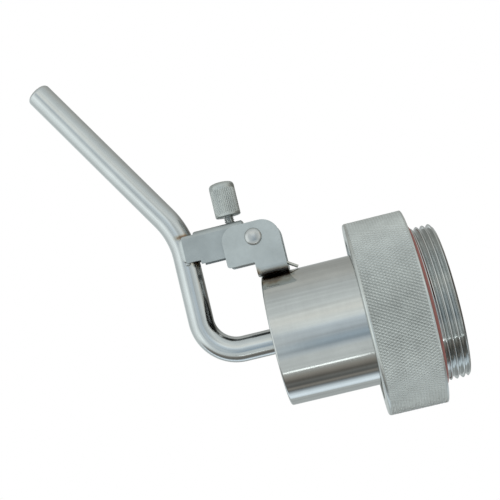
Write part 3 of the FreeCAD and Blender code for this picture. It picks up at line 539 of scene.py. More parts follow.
# Painted shade: the stop plate's near-black colour stands for the dark shading under the bracket's nose
plate_shaded_finish = steel("dull_plate_painted_shade", (0.15, 0.155, 0.15), 0.5, EVEN, line_depth=0.10, cloudiness=0.12)
# Painted shade: the channel is the bracket's sheet steel made darker, for the shade it lies in beside the
# bracket
channel_shaded_finish = steel("sheet_painted_shade", (0.405, 0.43, 0.43), 0.42, EVEN, line_depth=0.08, cloudiness=0.07,
                       specks=0.10)
rod_finish = steel("polished_bar", (0.52, 0.535, 0.535), 0.15, (25, 1500, 1500), line_depth=0.004,
                   cloudiness=0.03, specks=0.08, roughness_spread=0.03, tints=[UPPER_TINT, LOWER_TINT_AND_SHADE],
                   along_bar=True)
knob_finish = steel("matte_knurled_knob", (0.50, 0.52, 0.505), 0.48, FINE, line_depth=0.08, cloudiness=0.08,
                    specks=0.2)
turned_finish = steel("fine_turned", (0.50, 0.505, 0.50), 0.24, (5200, 5200, 5200), line_depth=0.08,
                      cloudiness=0.04, roughness_spread=0.06)
spring_finish = steel("drawn_wire", (0.50, 0.485, 0.44), 0.24, (40, 3000, 3000), line_depth=0.06,
                      cloudiness=0.05, along_bar=True)
weld_finish = steel("ground_weld", (0.47, 0.49, 0.49), 0.30, FINE, line_depth=0.10, cloudiness=0.07,
                    specks=0.1)
brass_finish = steel("turned_brass", (0.66, 0.47, 0.20), 0.27, (700, 700, 5000), line_depth=0.10,
                     cloudiness=0.06)
print("the tube's finish has", len(tube_finish.node_tree.nodes), "nodes")

# %% [markdown]
# Rubber and plastic aren't metal: they need a plain diffuse colour. A single flat one would look painted,
# so it fades in the clouds of the handling marks, and a fine noise gives the grain of the mould.

# %% Rubber and plastic
FADED, FADED_LIFT = 1.25, 0.015
MOULD_SCALE, MOULD_GLOSS = 2500.0, 0.2


def moulded(name, colour, roughness):
    """Non-metal whose colour fades in soft patches, with a fine grain."""
    material, tree = new_material(name)
    place = add(tree, "ShaderNodeTexCoord").outputs["Object"]
    clouds = add(tree, "ShaderNodeGroup", {"Place": place}, node_tree=handling).outputs["Clouds"]
    base = mix_colours(tree, clouds, (*colour, 1), (*(c * FADED + FADED_LIFT for c in colour), 1))
    grain = noise(tree, place, MOULD_SCALE, detail=2.0)
    gloss = math_node(tree, "MULTIPLY_ADD", grain, MOULD_GLOSS, roughness - MOULD_GLOSS / 2)
    bump = add(tree, "ShaderNodeBump", {"Height": grain, "Strength": 0.15, "Distance": 0.0001})
    shader = add(tree, "ShaderNodeBsdfPrincipled", {"Base Color": base, "Roughness": gloss,
                                                    "Normal": bump.outputs[0]})
    add(tree, "ShaderNodeOutputMaterial", {0: shader.outputs[0]})
    return material


red_rubber = moulded("red_rubber", (0.30, 0.105, 0.09), 0.6)
black_rubber = moulded("black_rubber", (0.018, 0.018, 0.018), 0.5)
slip_plastic = moulded("slip_plastic", (0.62, 0.62, 0.58), 0.35)
print("moulded finishes:", [m.name for m in (red_rubber, black_rubber, slip_plastic)])

# %% [markdown]
# Nearly every piece is a stack of closed sections: the rings of a turned part, or the circles along a bent
# bar. Blender's Screw modifier or a bevelled curve could make some of them, but not the knurls and threads.
# So one function joins any such stack into a closed skin. It turns the skin inside out if its volume comes
# out negative, so that every face points outwards.

# %% Skin over sections


def signed_volume(points, triangles):
    """Sum of the tetrahedra from the origin to each triangle: positive if the faces point outwards."""
    a, b, c = points[triangles[:, 0]], points[triangles[:, 1]], points[triangles[:, 2]]
    return float(np.einsum("ij,ij->", a, np.cross(b, c))) / 6


def skin(sections, loop=False, heights=None):
    """Points and faces over sections[i, j]: neighbours are joined and each section closes on itself.
    With loop the last section joins the first, otherwise a fan closes each end round its middle.
    A quad whose corners all have a number in heights[i, j] is cut along its lower diagonal."""
    rows, columns = sections.shape[:2]
    points = sections.reshape(-1, 3)
    i = np.arange(rows if loop else rows - 1)[:, None]
    j = np.arange(columns)[None, :]
    i_next, j_next = (i + 1) % rows, (j + 1) % columns
    quads = np.stack(np.broadcast_arrays(i * columns + j, i_next * columns + j, i_next * columns + j_next,
                                         i * columns + j_next), -1).reshape(-1, 4)
    triangles = np.empty((0, 3), int)
    if heights is not None:
        height = heights.reshape(-1)[quads]
        cut = ~np.isnan(height).any(1)
        tall, height = quads[cut], height[cut]
        first = (height[:, 0] + height[:, 2] <= height[:, 1] + height[:, 3])[:, None, None]
        pairs = np.where(first, tall[:, [[0, 1, 2], [0, 2, 3]]], tall[:, [[1, 2, 3], [1, 3, 0]]])
        triangles = pairs.reshape(-1, 3)
        quads = quads[~cut]
    if not loop:
        middles = len(points) + np.arange(2)
        points = np.concatenate([points, sections[[0, -1]].mean(1)])
        k = np.arange(columns)
        k_next = (k + 1) % columns
        last = (rows - 1) * columns
        start_fan = np.stack([np.full(columns, middles[0]), k, k_next], 1)
        end_fan = np.stack([np.full(columns, middles[1]), last + k_next, last + k], 1)
        triangles = np.concatenate([triangles, start_fan, end_fan])
    all_triangles = np.concatenate([quads[:, :3], quads[:, [0, 2, 3]], triangles])
    if signed_volume(points, all_triangles) < 0:
        quads, triangles = quads[:, ::-1], triangles[:, ::-1]
    return points, quads.tolist() + triangles.tolist()


def place_piece(name, points, faces, material, slot, body, stands_for=(), sharp_over=35, **values):
    """Makes the object from points in mm, rides it on its body, and hides the CAD nodes that it stands for.
    Edges that turn by more than sharp_over degrees stay sharp. Each further value is stored at the points
    under its own name."""
    mesh = bpy.data.meshes.new(name)
    mesh.from_pydata(points * MM, [], faces)
    mesh.shade_smooth()
    mesh.set_sharp_from_angle(angle=math.radians(sharp_over))
    mesh.materials.append(material)
    for value_name, value in values.items():
        vector = value.ndim == 2
        layer = mesh.attributes.new(value_name, "FLOAT_VECTOR" if vector else "FLOAT", "POINT")
        layer.data.foreach_set("vector" if vector else "value", value.astype(np.float32).ravel())
    made = bpy.data.objects.new(name, mesh)
    scene.collection.objects.link(made)
    if body:
        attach(made, body)
    if stands_for:
        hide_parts(*stands_for)
    print(f"{name}: {len(points)} points, {len(faces)} faces")
    return made


unit_cube = np.array([[[x, y, z] for x, y in ((0, 0), (1, 0), (1, 1), (0, 1))] for z in (0, 1)], float)
print("a cube's skin has", len(skin(unit_cube)[1]), "faces")

# %% [markdown]
# Real edges are never quite sharp, and the small radius on each is what catches the light. A Bevel modifier
# would do, but then the knurl and thread would be bevelled too. So the radii are in the outlines: this
# function takes corners with their radii and puts a tangent arc in each. It steps evenly in angle from the
# point where the arc leaves one side to the point where it meets the next.

# %% Rounded outlines


def rounded(corners, radii, closed=True, steps=5):
    """Outline through corners, each replaced by an arc of its radius that touches both of its sides."""
    corners = np.asarray(corners, float)
    count = len(corners)
    runs = []
    for k, radius in enumerate(radii):
        if radius == 0 or (not closed and k in (0, count - 1)):
            runs.append(corners[k:k + 1])
            continue
        back = corners[k - 1] - corners[k]
        ahead = corners[(k + 1) % count] - corners[k]
        back /= np.linalg.norm(back)
        ahead /= np.linalg.norm(ahead)
        half = math.acos(float(back @ ahead)) / 2
        middle = (back + ahead) / np.linalg.norm(back + ahead)
        centre = corners[k] + middle * radius / math.sin(half)
        first = corners[k] + back * radius / math.tan(half) - centre
        last = corners[k] + ahead * radius / math.tan(half) - centre
        turn = math.pi - 2 * half
        t = np.linspace(0, 1, steps + 1)[:, None]
        runs.append(centre + (np.sin((1 - t) * turn) * first + np.sin(t * turn) * last) / math.sin(turn))
    return np.concatenate(runs)


def turned(outline, axis=X, centre=(0, 0, 0), columns=128, radius_at=None):
    """Sections of a turned part: each (distance along the axis, radius) of the outline becomes a circle.
    radius_at(distance, angle, radius) may shape the radius further, as a thread does."""
    along, out_a, out_b = np.roll(np.eye(3), -axis, 0)
    outline = np.asarray(outline, float)
    angle = np.arange(columns) * 2 * math.pi / columns
    radius = np.repeat(outline[:, 1:2], columns, 1)
    if radius_at:
        radius = radius_at(outline[:, 0:1], angle[None, :], radius)
    return (np.asarray(centre) + outline[:, 0, None, None] * along
            + (radius * np.cos(angle))[..., None] * out_a + (radius * np.sin(angle))[..., None] * out_b)


def turned_piece(name, corners, radii, material, slot, body, axis=X, centre=(0, 0, 0), columns=192):
    """Turned part that stands for the CAD node of that name, from its outline's corners. An outline that
    starts and ends on the axis is closed by its end fans."""
    hollow = corners[0][1] > 0
    if not hollow:
        corners, radii = corners[1:-1], radii[1:-1]
    outline = rounded(corners, radii, closed=hollow)
    points, faces = skin(turned(outline, axis, centre, columns), loop=hollow)
    return place_piece(name + "_dressed", points, faces, material, slot, body, [name])


def plain_ring(name, bore_r, radii, material, slot, body, axis=X, centre=(0, 0, 0), columns=192):
    """Turned part with a rectangle for its section, as long and as wide as its CAD node. The radii are those
    of its rear bore, rear rim, front rim and front bore."""
    start, end, outer_r = turned_size(name, axis, centre)
    corners = [(start, bore_r), (start, outer_r), (end, outer_r), (end, bore_r)]
    return turned_piece(name, corners, radii, material, slot, body, axis, centre, columns)


print("a square with one rounded corner has", len(rounded(unit_cube[0, :, :2], [0.1, 0, 0, 0])), "points")

# %% [markdown]
# The outlet tube is the plainest turned part: a wall 1.5 mm thick with its rim broken by a small radius.
# That radius draws the thin bright line down the tube's left end in the photograph. A Cylinder with
# Solidify would give the wall, but not a rim that is rounder outside than inside.

# %% Outlet tube
TUBE_WALL = 1.5
plain_ring("body_tube", TUBE_R - TUBE_WALL, [0.3, 0.8, 0, 0], tube_finish, "tube_steel", "tap_body",
           columns=384)

# %% [markdown]
# A knurl is pressed by two wheels whose grooves slant opposite ways, 30 degrees each from the axis. Where
# the grooves cross they leave small pyramids, whose tops are flattened, because a new knurl isn't sharp. A
# bump texture would be lighter, but its outline would be smooth, so the pyramids are real. Columns and rows
# of the grid step a sixth of the pitch, so each groove runs exactly along the quads' diagonals, and each
# quad is cut along its lower diagonal to keep the groove open.

# %% Knurl
KNURL_LEAN = math.radians(30)
KNURL_UNEVEN, KNURL_STEEPNESS = 0.20, 1.5
PER_KNURL = 6


def groove_wave(phase):
    """Height from 0 in a groove to 1 halfway between two grooves."""
    return 1 - np.abs(2 * np.mod(phase, 1) - 1)


def knurl_height(column, row):
    """Lower of two slanting waves, with the pyramids' tops cut flat. The wave that falls towards the drum is
    pressed a little deeper than the other, as by a newer wheel."""
    lower = np.minimum(groove_wave((column + row) / PER_KNURL) + KNURL_UNEVEN,
                       groove_wave((column - row) / PER_KNURL))
    return np.clip(lower * KNURL_STEEPNESS, 0, 1)


def knurl_grid(radius, knurls):
    """Columns round a knurled part, and the distance between rows that makes its grooves lean right."""
    columns = knurls * PER_KNURL
    return columns, 2 * math.pi * radius / columns / math.tan(KNURL_LEAN)


def press_knurl(sections, rows, axis, centre, radius, depth, fade_rows):
    """Moves the points in these rows towards the axis by depth times how far they are below the pyramids'
    tops. Over fade_rows at each end the knurl grows from nothing. The result is every point's height, which
    isn't a number outside the knurl."""
    row = np.arange(len(rows))[:, None]
    column = np.arange(sections.shape[1])[None, :]
    fade = np.clip(np.minimum(row, len(rows) - 1 - row) / fade_rows, 0, 1)
    lowered = depth * (1 - knurl_height(column, row)) * fade
    shrink = 1 - (lowered / radius)[..., None] * (1 - np.eye(3)[axis])
    sections[rows] = centre + (sections[rows] - centre) * shrink
    heights = np.full(sections.shape[:2], np.nan)
    heights[rows] = -lowered
    return heights


print("height over one pitch:", knurl_height(np.arange(PER_KNURL), 0).round(2))

# %% [markdown]
# The ring is turned first and knurled then, as on the lathe. Its outline runs from the rear face over the
# knurled band to the front face, and back through the bore with its two grooves for the swivel's O-rings.
# The plain turned faces are a little glossier than the knurl, so the rows of the knurl are marked.

# %% Knurled ring
POCKET_R, POCKET_FLOOR = 31.2, ends("swivel_washer", X)[1]
BORE_R, GROOVE_R = 25.45, ends("swivel_o_rings", Z)[1]
GROOVE_FRONTS, GROOVE_WIDTH = (-5.7, -13.7), 4.0
RING_KNURLS, RING_KNURL_DEPTH = 192, 0.36
REAR_ROUNDING, FRONT_ROUNDING = 1.1, 0.3
KNURL_START, KNURL_END = RING_REAR + 1.2, RING_FRONT - 0.35

ring_columns, row_step = knurl_grid(RING_R, RING_KNURLS)
band_x = np.arange(KNURL_START, KNURL_END, row_step)
rear = rounded([(RING_REAR, POCKET_R), (RING_REAR, RING_R), (KNURL_START, RING_R)], [0, REAR_ROUNDING, 0],
               closed=False, steps=6)
band = np.stack([band_x, np.full(len(band_x), RING_R)], 1)
front = rounded([(KNURL_END, RING_R), (RING_FRONT, RING_R), (RING_FRONT, BORE_R)], [0, FRONT_ROUNDING, 0],
                closed=False)
inside = []
for groove in GROOVE_FRONTS:
    inside += [(groove, BORE_R), (groove, GROOVE_R), (groove - GROOVE_WIDTH, GROOVE_R),
               (groove - GROOVE_WIDTH, BORE_R)]
inside += [(POCKET_FLOOR, BORE_R), (POCKET_FLOOR, POCKET_R)]
ring_sections = turned(np.concatenate([rear[:-1], band, front[1:], inside]), columns=ring_columns)

band_rows = len(rear) - 1 + np.arange(len(band_x))
heights = press_knurl(ring_sections, band_rows, X, np.zeros(3), RING_R, RING_KNURL_DEPTH, fade_rows=1)
smooth_rows = np.isnan(heights).astype(float)
points, faces = skin(ring_sections, loop=True, heights=heights)
place_piece("knurled_ring", points, faces, ring_finish, "ring_steel", "drum_fitting", ["threaded_ring"], 25,
            turned_gloss=smooth_rows.ravel())

# %% [markdown]
# The drum thread is a G2 pipe thread: 11 turns to the inch and rounded at crest and root, so a cosine along
# the axis that shifts by one pitch per turn follows it closely. Its crests are wider than its grooves. It
# grows out of a plain shoulder at the gasket, and its end is chamfered, so that it finds its way into the
# drum. The Screw modifier could wind a profile, but it wouldn't join a plain end.

# %% Thread
G2_PITCH, G2_MAJOR_R, G2_DEPTH = 25.4 / 11, 29.807, 1.479
NIPPLE_BORE_R, NIPPLE_SHOULDER = 27.0, 4.1
ROOT_R, ROOT_START, ROOT_END = 28.0, -2.0, -0.05
THREAD_ROWS = 110
ON_THE_CREST = 0.01


def helix_radius(pitch, major_r, depth, start, end, chamfer, runout, crest_width=1.0):
    """Function for a thread's radius: major radius less a cosine wave that climbs one pitch each turn. A
    crest_width below 1 widens the crests, and over the runout the wave deepens from nothing."""
    def radius_at(along, angle, radius):
        wave = 0.5 + 0.5 * np.cos(2 * math.pi * (along / pitch - angle / (2 * math.pi)))
        grown = np.clip((along - start) / runout, 0, 1)
        thread = major_r - depth * (1 - wave ** crest_width) * grown
        thread = np.minimum(thread, major_r - (along - (end - chamfer)))
        return np.where((along >= start) & (along <= end) & (radius > major_r - ON_THE_CREST), thread, radius)
    return radius_at


thread_x = np.linspace(GASKET_FACE, THREAD_END, THREAD_ROWS)
nipple = np.concatenate([
    np.stack([thread_x, np.full(len(thread_x), G2_MAJOR_R)], 1),
    [(THREAD_END, NIPPLE_BORE_R), (NIPPLE_SHOULDER, NIPPLE_BORE_R), (NIPPLE_SHOULDER, BORE_R),
     (ROOT_START, BORE_R), (ROOT_START, ROOT_R), (ROOT_END, ROOT_R)],
])
g2 = helix_radius(G2_PITCH, G2_MAJOR_R, G2_DEPTH, GASKET_FACE, THREAD_END, chamfer=0.8, runout=0.9,
                  crest_width=0.75)
points, faces = skin(turned(nipple, columns=320, radius_at=g2), loop=True)
place_piece("drum_thread", points, faces, thread_finish, "ring_steel", "drum_fitting", sharp_over=50)

# %% [markdown]
# The gasket, the collar that keeps the ring on the tube and its slip washer are plain rings. They are seen
# only as thin lines, in front of the ring and in the slit behind it. The gasket is drawn a little narrower
# than its node, so that its red line is as thin as in the photograph.

# %% Rings round the tube
GASKET_BORE_R, GASKET_R = G2_MAJOR_R + 0.2, 31.0
turned_piece("drum_gasket", [(RING_FRONT, GASKET_BORE_R), (RING_FRONT, GASKET_R), (GASKET_FACE, GASKET_R),
                             (GASKET_FACE, GASKET_BORE_R)], [0.1, 0.3, 0.3, 0.1],
             red_rubber, "red_rubber", "drum_fitting", columns=256)
plain_ring("stop_collar", 25.42, [0, 0.5, 0.3, 0], turned_finish, "turned_steel", "tap_body")
plain_ring("swivel_washer", 25.5, [0.1, 0.2, 0.2, 0.1], slip_plastic, "slip_plastic", "drum_fitting")

# %% [markdown]
# The valve shows from the drum's side: a black seal between two steel discs on a stem, which shuts against
# a seat welded into the tube. All of it is turned, so it is one outline each. Where two pieces meet, their
# outlines take the place from the same CAD node.

# %% Valve and seat
STEM_BORE_R, STEM_END_R = 3.02, 3.0
SEAT_BORE_R, SEAT_FIT_R, SEAT_CUP_R = 18.5, 23.88, 24.3
DISC_HUB_R, DISC_RIM_WIDTH = 8.0, 1.4

seal_rear, seal_front = ends("valve_seal", X)
rear, front, flange_r = turned_size("seat_ring", X)
turned_piece("seat_ring", [
    (rear, SEAT_BORE_R), (rear, SEAT_FIT_R), (TUBE_END, SEAT_FIT_R), (TUBE_END, TUBE_R), (seal_front, TUBE_R),
    (seal_front, flange_r), (front, flange_r), (front, SEAT_CUP_R), (seal_rear, SEAT_CUP_R),
    (seal_rear, SEAT_BORE_R),
], [0.8, 0.3, 0, 0, 0, 0.2, 0.3, 0.4, 0.2, 0.5], turned_finish, "turned_steel", "tap_body")

plain_ring("valve_seal", STEM_BORE_R, [0, 0.4, 0.4, 0], black_rubber, "seal_rubber", "valve", columns=160)
rear, front, disc_r = turned_size("valve_disc", X)
turned_piece("valve_disc", [
    (rear, STEM_BORE_R), (front, STEM_BORE_R), (front, DISC_HUB_R), (rear + DISC_RIM_WIDTH, disc_r),
    (rear, disc_r),
], [0, 0.1, 1.5, 0.4, 0.3], turned_finish, "turned_steel", "valve", columns=160)
plain_ring("pilot_washer", STEM_BORE_R, [0, 0.3, 0.1, 0], turned_finish, "turned_steel", "valve", columns=96)
plain_ring("stem_lock_washer", STEM_BORE_R, [0, 0.2, 0.2, 0], turned_finish, "turned_steel", "valve",
           columns=64)

rear, front, stem_r = turned_size("valve_stem", X)
fork_front, pilot_rear = ends("stem_fork", X)[1], ends("pilot_washer", X)[0]
turned_piece("valve_stem", [
    (rear, 0), (rear, STEM_END_R), (fork_front, STEM_END_R), (fork_front, stem_r), (pilot_rear, stem_r),
    (pilot_rear, STEM_END_R), (front, STEM_END_R), (front, 0),
], [0, 0.2, 0, 0.3, 0.2, 0, 0.4, 0], turned_finish, "turned_steel", "valve", columns=48)

# %% [markdown]
# The pin through the rod's lower end pushes the valve's fork. A plain Cylinder would nearly do, but its ends
# are rounded, so it is turned like the rest, about Y because it lies across the tap.

# %% Cross pin
PIN = (round(sum(ends("cross_pin", X)) / 2, 3), 0, 0)
start, end, pin_r = turned_size("cross_pin", Y, PIN)
turned_piece("cross_pin", [(start, 0), (start, pin_r), (end, pin_r), (end, 0)], [0, 0.4, 0.4, 0],
             turned_finish, "turned_steel", "lever", Y, PIN, columns=48)

# %% [markdown]
# The handle is one round bar with two bends. A bevelled curve would give the bar, but not the rounding of
# its ends. So its middle line is an outline like the others, drawn in the XZ plane, and a circle is set
# square to it at every point. Both ends are rounded off by circles that shrink as they near the end. The
# distance along the bar is stored at every point, so that its polishing lines can follow the bends.

# %% Bent handle
ROD_R = ends("lever_rod", Y)[1]
ROD_TIP_X, ROD_DROP_X = ends("lever_rod", X)[1], -86.1
UPPER_BEND_Z, LOWER_BEND_R, UPPER_BEND_R = 49.1, 14.0, 32.0
ARM_LENGTH, ARM_ANGLE = 81.5, math.radians(58.1)


def bar_sections(path, radii, columns):
    """Circles of the given radii square to a path. One side of each points along Y as nearly as it can."""
    tangent = np.gradient(path, axis=0)
    tangent /= np.linalg.norm(tangent, axis=1)[:, None]
    across = np.array([0.0, 1.0, 0.0]) - tangent * tangent[:, 1:2]
    across /= np.linalg.norm(across, axis=1)[:, None]
    outward = np.cross(across, tangent)
    angle = np.arange(columns) * 2 * math.pi / columns
    circle = np.cos(angle)[None, :, None] * outward[:, None] + np.sin(angle)[None, :, None] * across[:, None]
    return path[:, None] + circle * np.asarray(radii)[:, None, None], angle


def rounded_end(tip, before, radius, rounding, points=7):
    """Points and radii of a bar's end, from its tip inwards: the radius grows along a quarter circle."""
    turn = np.linspace(0, math.pi / 2, points)[:, None]
    inward = (before - tip) / np.linalg.norm(before - tip)
    return tip + inward * rounding * (1 - np.cos(turn)), radius - rounding * (1 - np.sin(turn[:, 0]))


def bar_piece(name, path, radius, columns, end_rounding, material, slot, body, stands_for):
    """Round bar along a path, its ends rounded by quarter circles of the given radii."""
    path = np.asarray(path, float)
    start_points, start_radii = rounded_end(path[0], path[1], radius, end_rounding[0])
    end_points, end_radii = rounded_end(path[-1], path[-2], radius, end_rounding[1])
    middle_line = np.concatenate([start_points, path[1:-1], end_points[::-1]])
    radii = np.concatenate([start_radii, np.full(len(path) - 2, radius), end_radii[::-1]])
    sections, angle = bar_sections(middle_line, radii, columns)
    run = np.concatenate([[0], np.cumsum(np.linalg.norm(np.diff(middle_line, axis=0), axis=1))])
    points, faces = skin(sections)
    along = np.concatenate([np.repeat(run, columns), run[[0, -1]]]) * MM
    circle = np.tile(np.stack([0 * angle, np.cos(angle), np.sin(angle)], 1) * radius, (len(run), 1))
    around = np.concatenate([circle, np.zeros((2, 3))]) * MM
    return place_piece(name, points, faces, material, slot, body, stands_for, along=along, around=around)


upper_corner = np.array([ROD_DROP_X, 0, UPPER_BEND_Z])
hand_end = upper_corner + np.array([-math.cos(ARM_ANGLE), 0, math.sin(ARM_ANGLE)]) * ARM_LENGTH
rod_corners = [(ROD_TIP_X, 0, 0), (ROD_DROP_X, 0, 0), upper_corner, hand_end]
rod_path = rounded(rod_corners, [0, LOWER_BEND_R, UPPER_BEND_R, 0], closed=False, steps=28)
bar_piece("lever_rod_dressed", rod_path, ROD_R, 72, (1.0, 1.5), rod_finish, "polished_rod", "lever",
          ["lever_rod"])

# %% [markdown]
# The torsion spring is wire too. From its foot on the tube it climbs to the pivot, winds round the bush a
# little over four times, and ends in a leg under the lever's channel. The coil is a circle whose place
# along Y grows with the angle. Both legs leave it along its tangent. When the lever turns, the foot stays
# and the other leg goes with it, and the coil between twists a little. Riding on one body would tear a leg
# off its rest, so the wire blends from one body to the other along Y.

# %% Torsion spring
WIRE_R, WIRE_GAP = 0.6, 0.05
COIL_R, COIL_PITCH, COIL_TURNS, COIL_POINTS = 4.25, 1.45, 4, 220
LEVER_LEG_Y, LEVER_LEG = 3.6, 14.0
FOOT_X, KINK_R = -44.2, 2.0
WEB_UNDERSIDE = ends("screw_boss", Z)[1]
kink_x, kink_z = PIVOT[X] + 7.8, 29.0
reach_to_kink = math.hypot(kink_x - PIVOT[X], kink_z - PIVOT[Z])
foot_angle = math.atan2(kink_z - PIVOT[Z], kink_x - PIVOT[X]) + math.acos(COIL_R / reach_to_kink)
leg_rise = WEB_UNDERSIDE - WIRE_GAP - WIRE_R - PIVOT[Z]
lever_angle = math.pi / 2 - math.asin((leg_rise - COIL_R) / LEVER_LEG) + 2 * math.pi * COIL_TURNS
y_per_radian = COIL_PITCH / (2 * math.pi)
foot_y = LEVER_LEG_Y - y_per_radian * (lever_angle - foot_angle)
coil_angle = np.linspace(foot_angle, lever_angle, COIL_POINTS)
coil = PIVOT + np.stack([COIL_R * np.cos(coil_angle), foot_y + y_per_radian * (coil_angle - foot_angle),
                         COIL_R * np.sin(coil_angle)], 1)
heading = np.gradient(coil, axis=0)
heading /= np.linalg.norm(heading, axis=1)[:, None]
kink = coil[0] - heading[0] * math.hypot(kink_x - coil[0, X], kink_z - coil[0, Z])
foot = np.array([FOOT_X, kink[Y], math.sqrt(TUBE_R ** 2 - kink[Y] ** 2) + WIRE_GAP + WIRE_R])
way_in = rounded([foot, kink, coil[0]], [0, KINK_R, 0], closed=False, steps=10)
spring_path = np.concatenate([way_in[:-1], coil, [coil[-1] + heading[-1] * LEVER_LEG]])
spring = bar_piece("torsion_spring_dressed", spring_path, WIRE_R, 16, (0.1, 0.1), spring_finish,
                   "spring_steel", None, ["torsion_spring"])
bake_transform(spring, "tap_body", "lever", start=(PIVOT[0] * MM, (foot_y + 0.3) * MM, PIVOT[2] * MM),
         end=(PIVOT[0] * MM, (LEVER_LEG_Y - 0.3) * MM, PIVOT[2] * MM))
print("spring from y", round(foot_y, 2), "to", LEVER_LEG_Y)

# %% [markdown]
# The rivet holds lever and bracket together. Its domed heads could be scaled spheres, but a quarter of an
# ellipse in its outline does both heads and the shank at once. The domes meet the bracket steeply, which
# gives the dark thin outline in the photograph.

# %% Pivot rivet
EAR_OUTER = ends("pivot_bracket", Y)[1]
HEAD_R, HEAD_HEIGHT, RIVET_R = turned_size("pivot_rivet", Y, PIVOT)[2], 1.5, 2.25
NEAR_POLE = 0.02
dome = np.linspace(NEAR_POLE, math.pi / 2, 16)
left_head = np.stack([-(EAR_OUTER + HEAD_HEIGHT * np.cos(dome)), HEAD_R * np.sin(dome)], 1)
rivet_outline = np.concatenate([left_head, [(-EAR_OUTER, RIVET_R), (EAR_OUTER, RIVET_R)],
                                left_head[::-1] * (-1, 1)])
points, faces = skin(turned(rivet_outline, Y, PIVOT, 96))
place_piece("pivot_rivet_dressed", points, faces, turned_finish, "turned_steel", "tap_body", ["pivot_rivet"])

# %% [markdown]
# The lock screw's knob carries the same knurl as the ring, only smaller, so the same functions press it.
# Its top is smooth and slightly domed, and its foot has a small radius.

# %% Lock screw's knob
KNOB_LOW, KNOB_HIGH, KNOB_R = turned_size("lock_screw_knob", Z, SCREW)
KNOB_KNURLS, KNOB_KNURL_DEPTH = 32, 0.20
KNOB_BORE_R, FOOT_ROUNDING = 2.1, 0.5
CROWN_HEIGHT, CROWN_ROUNDING, CROWN_MIDDLE_R = 0.5, 1.7, 0.05
BAND_LOW, BAND_HIGH, BAND_GAP = KNOB_LOW + 0.6, KNOB_HIGH - 2.3, 0.05

knob_columns, knob_step = knurl_grid(KNOB_R, KNOB_KNURLS)
knurl_z = np.arange(BAND_LOW, BAND_HIGH, knob_step)
foot_corners = [(KNOB_LOW, KNOB_BORE_R), (KNOB_LOW, KNOB_R), (BAND_LOW - BAND_GAP, KNOB_R)]
knob_foot = rounded(foot_corners, [0, FOOT_ROUNDING, 0], closed=False)
top_corners = [(BAND_HIGH + BAND_GAP, KNOB_R), (KNOB_HIGH - CROWN_HEIGHT, KNOB_R), (KNOB_HIGH, 0)]
knob_top = rounded(top_corners, [0, CROWN_ROUNDING, 0], closed=False, steps=9)
crown_r = np.linspace(knob_top[-2, 1], CROWN_MIDDLE_R, 7)[1:]
crown = np.stack([KNOB_HIGH - CROWN_HEIGHT * (crown_r / KNOB_R) ** 2, crown_r], 1)
knob_band = np.stack([knurl_z, np.full(len(knurl_z), KNOB_R)], 1)
knob_outline = np.concatenate([knob_foot, knob_band, knob_top[:-1], crown])
knob_sections = turned(knob_outline, Z, SCREW, knob_columns)
knob_rows = len(knob_foot) + np.arange(len(knurl_z))
heights = press_knurl(knob_sections, knob_rows, Z, SCREW, KNOB_R, KNOB_KNURL_DEPTH, fade_rows=3)
points, faces = skin(knob_sections, heights=heights)
place_piece("lock_screw_knob_dressed", points, faces, knob_finish, "knob_steel", "lock_screw",
            ["lock_screw_knob"], 25)

# %% [markdown]
# The shank below the knob has an M4 thread, which shows between knob and channel. It goes through the
# tapped boss under the channel, and its plain tip sits in a brass pad that doesn't turn with it.

# %% Lock screw's shank, pad and boss
M4_PITCH, M4_R, M4_DEPTH = 0.7, 2.0, 0.42
M4_START, M4_TOP, M4_ROWS = 38.2, 52.5, 170
ABOVE_THE_SHANK = 60.0
TIP_LOW, TIP_HIGH, TIP_R = 36.7, 38.15, 1.45
PAD_CUP_R, PAD_CUP_FLOOR = 1.55, ends("lock_screw_shank", Z)[0]

shank_z = np.linspace(M4_START, M4_TOP, M4_ROWS)
shank = np.concatenate([[(TIP_LOW, TIP_R), (TIP_HIGH, TIP_R)],
                        np.stack([shank_z, np.full(M4_ROWS, M4_R)], 1)])
m4 = helix_radius(M4_PITCH, M4_R, M4_DEPTH, M4_START, ABOVE_THE_SHANK, chamfer=0.4, runout=0.7)
points, faces = skin(turned(shank, Z, SCREW, 48, m4))
place_piece("lock_screw_shank_dressed", points, faces, thread_finish, "turned_steel", "lock_screw",
            ["lock_screw_shank"], sharp_over=60)
low, high, pad_r = turned_size("lock_screw_pad", Z, SCREW)
turned_piece("lock_screw_pad", [
    (low, 0), (low, pad_r), (high, pad_r), (high, PAD_CUP_R), (PAD_CUP_FLOOR, PAD_CUP_R), (PAD_CUP_FLOOR, 0),
], [0, 0.4, 0.2, 0.1, 0, 0], brass_finish, "brass", "lock_pad", Z, SCREW, columns=48)
plain_ring("screw_boss", 2.05, [0.2, 0.3, 0, 0], turned_finish, "turned_steel", "lever", Z, SCREW, columns=48)

# %% [markdown]
# Folded sheet, milled and sawn parts already have the right shape in the CAD, with edges that are too
# sharp. They could be modelled again, but a copy is surer: each is welded into one mesh, flat faces are
# joined up again, and a live Bevel rounds its edges.

# %% Folded and milled parts
MERGE_DISTANCE = 2e-6
FLAT_WITHIN, SHARP_OVER, BEVEL_OVER = math.radians(0.6), math.radians(30), math.radians(32)


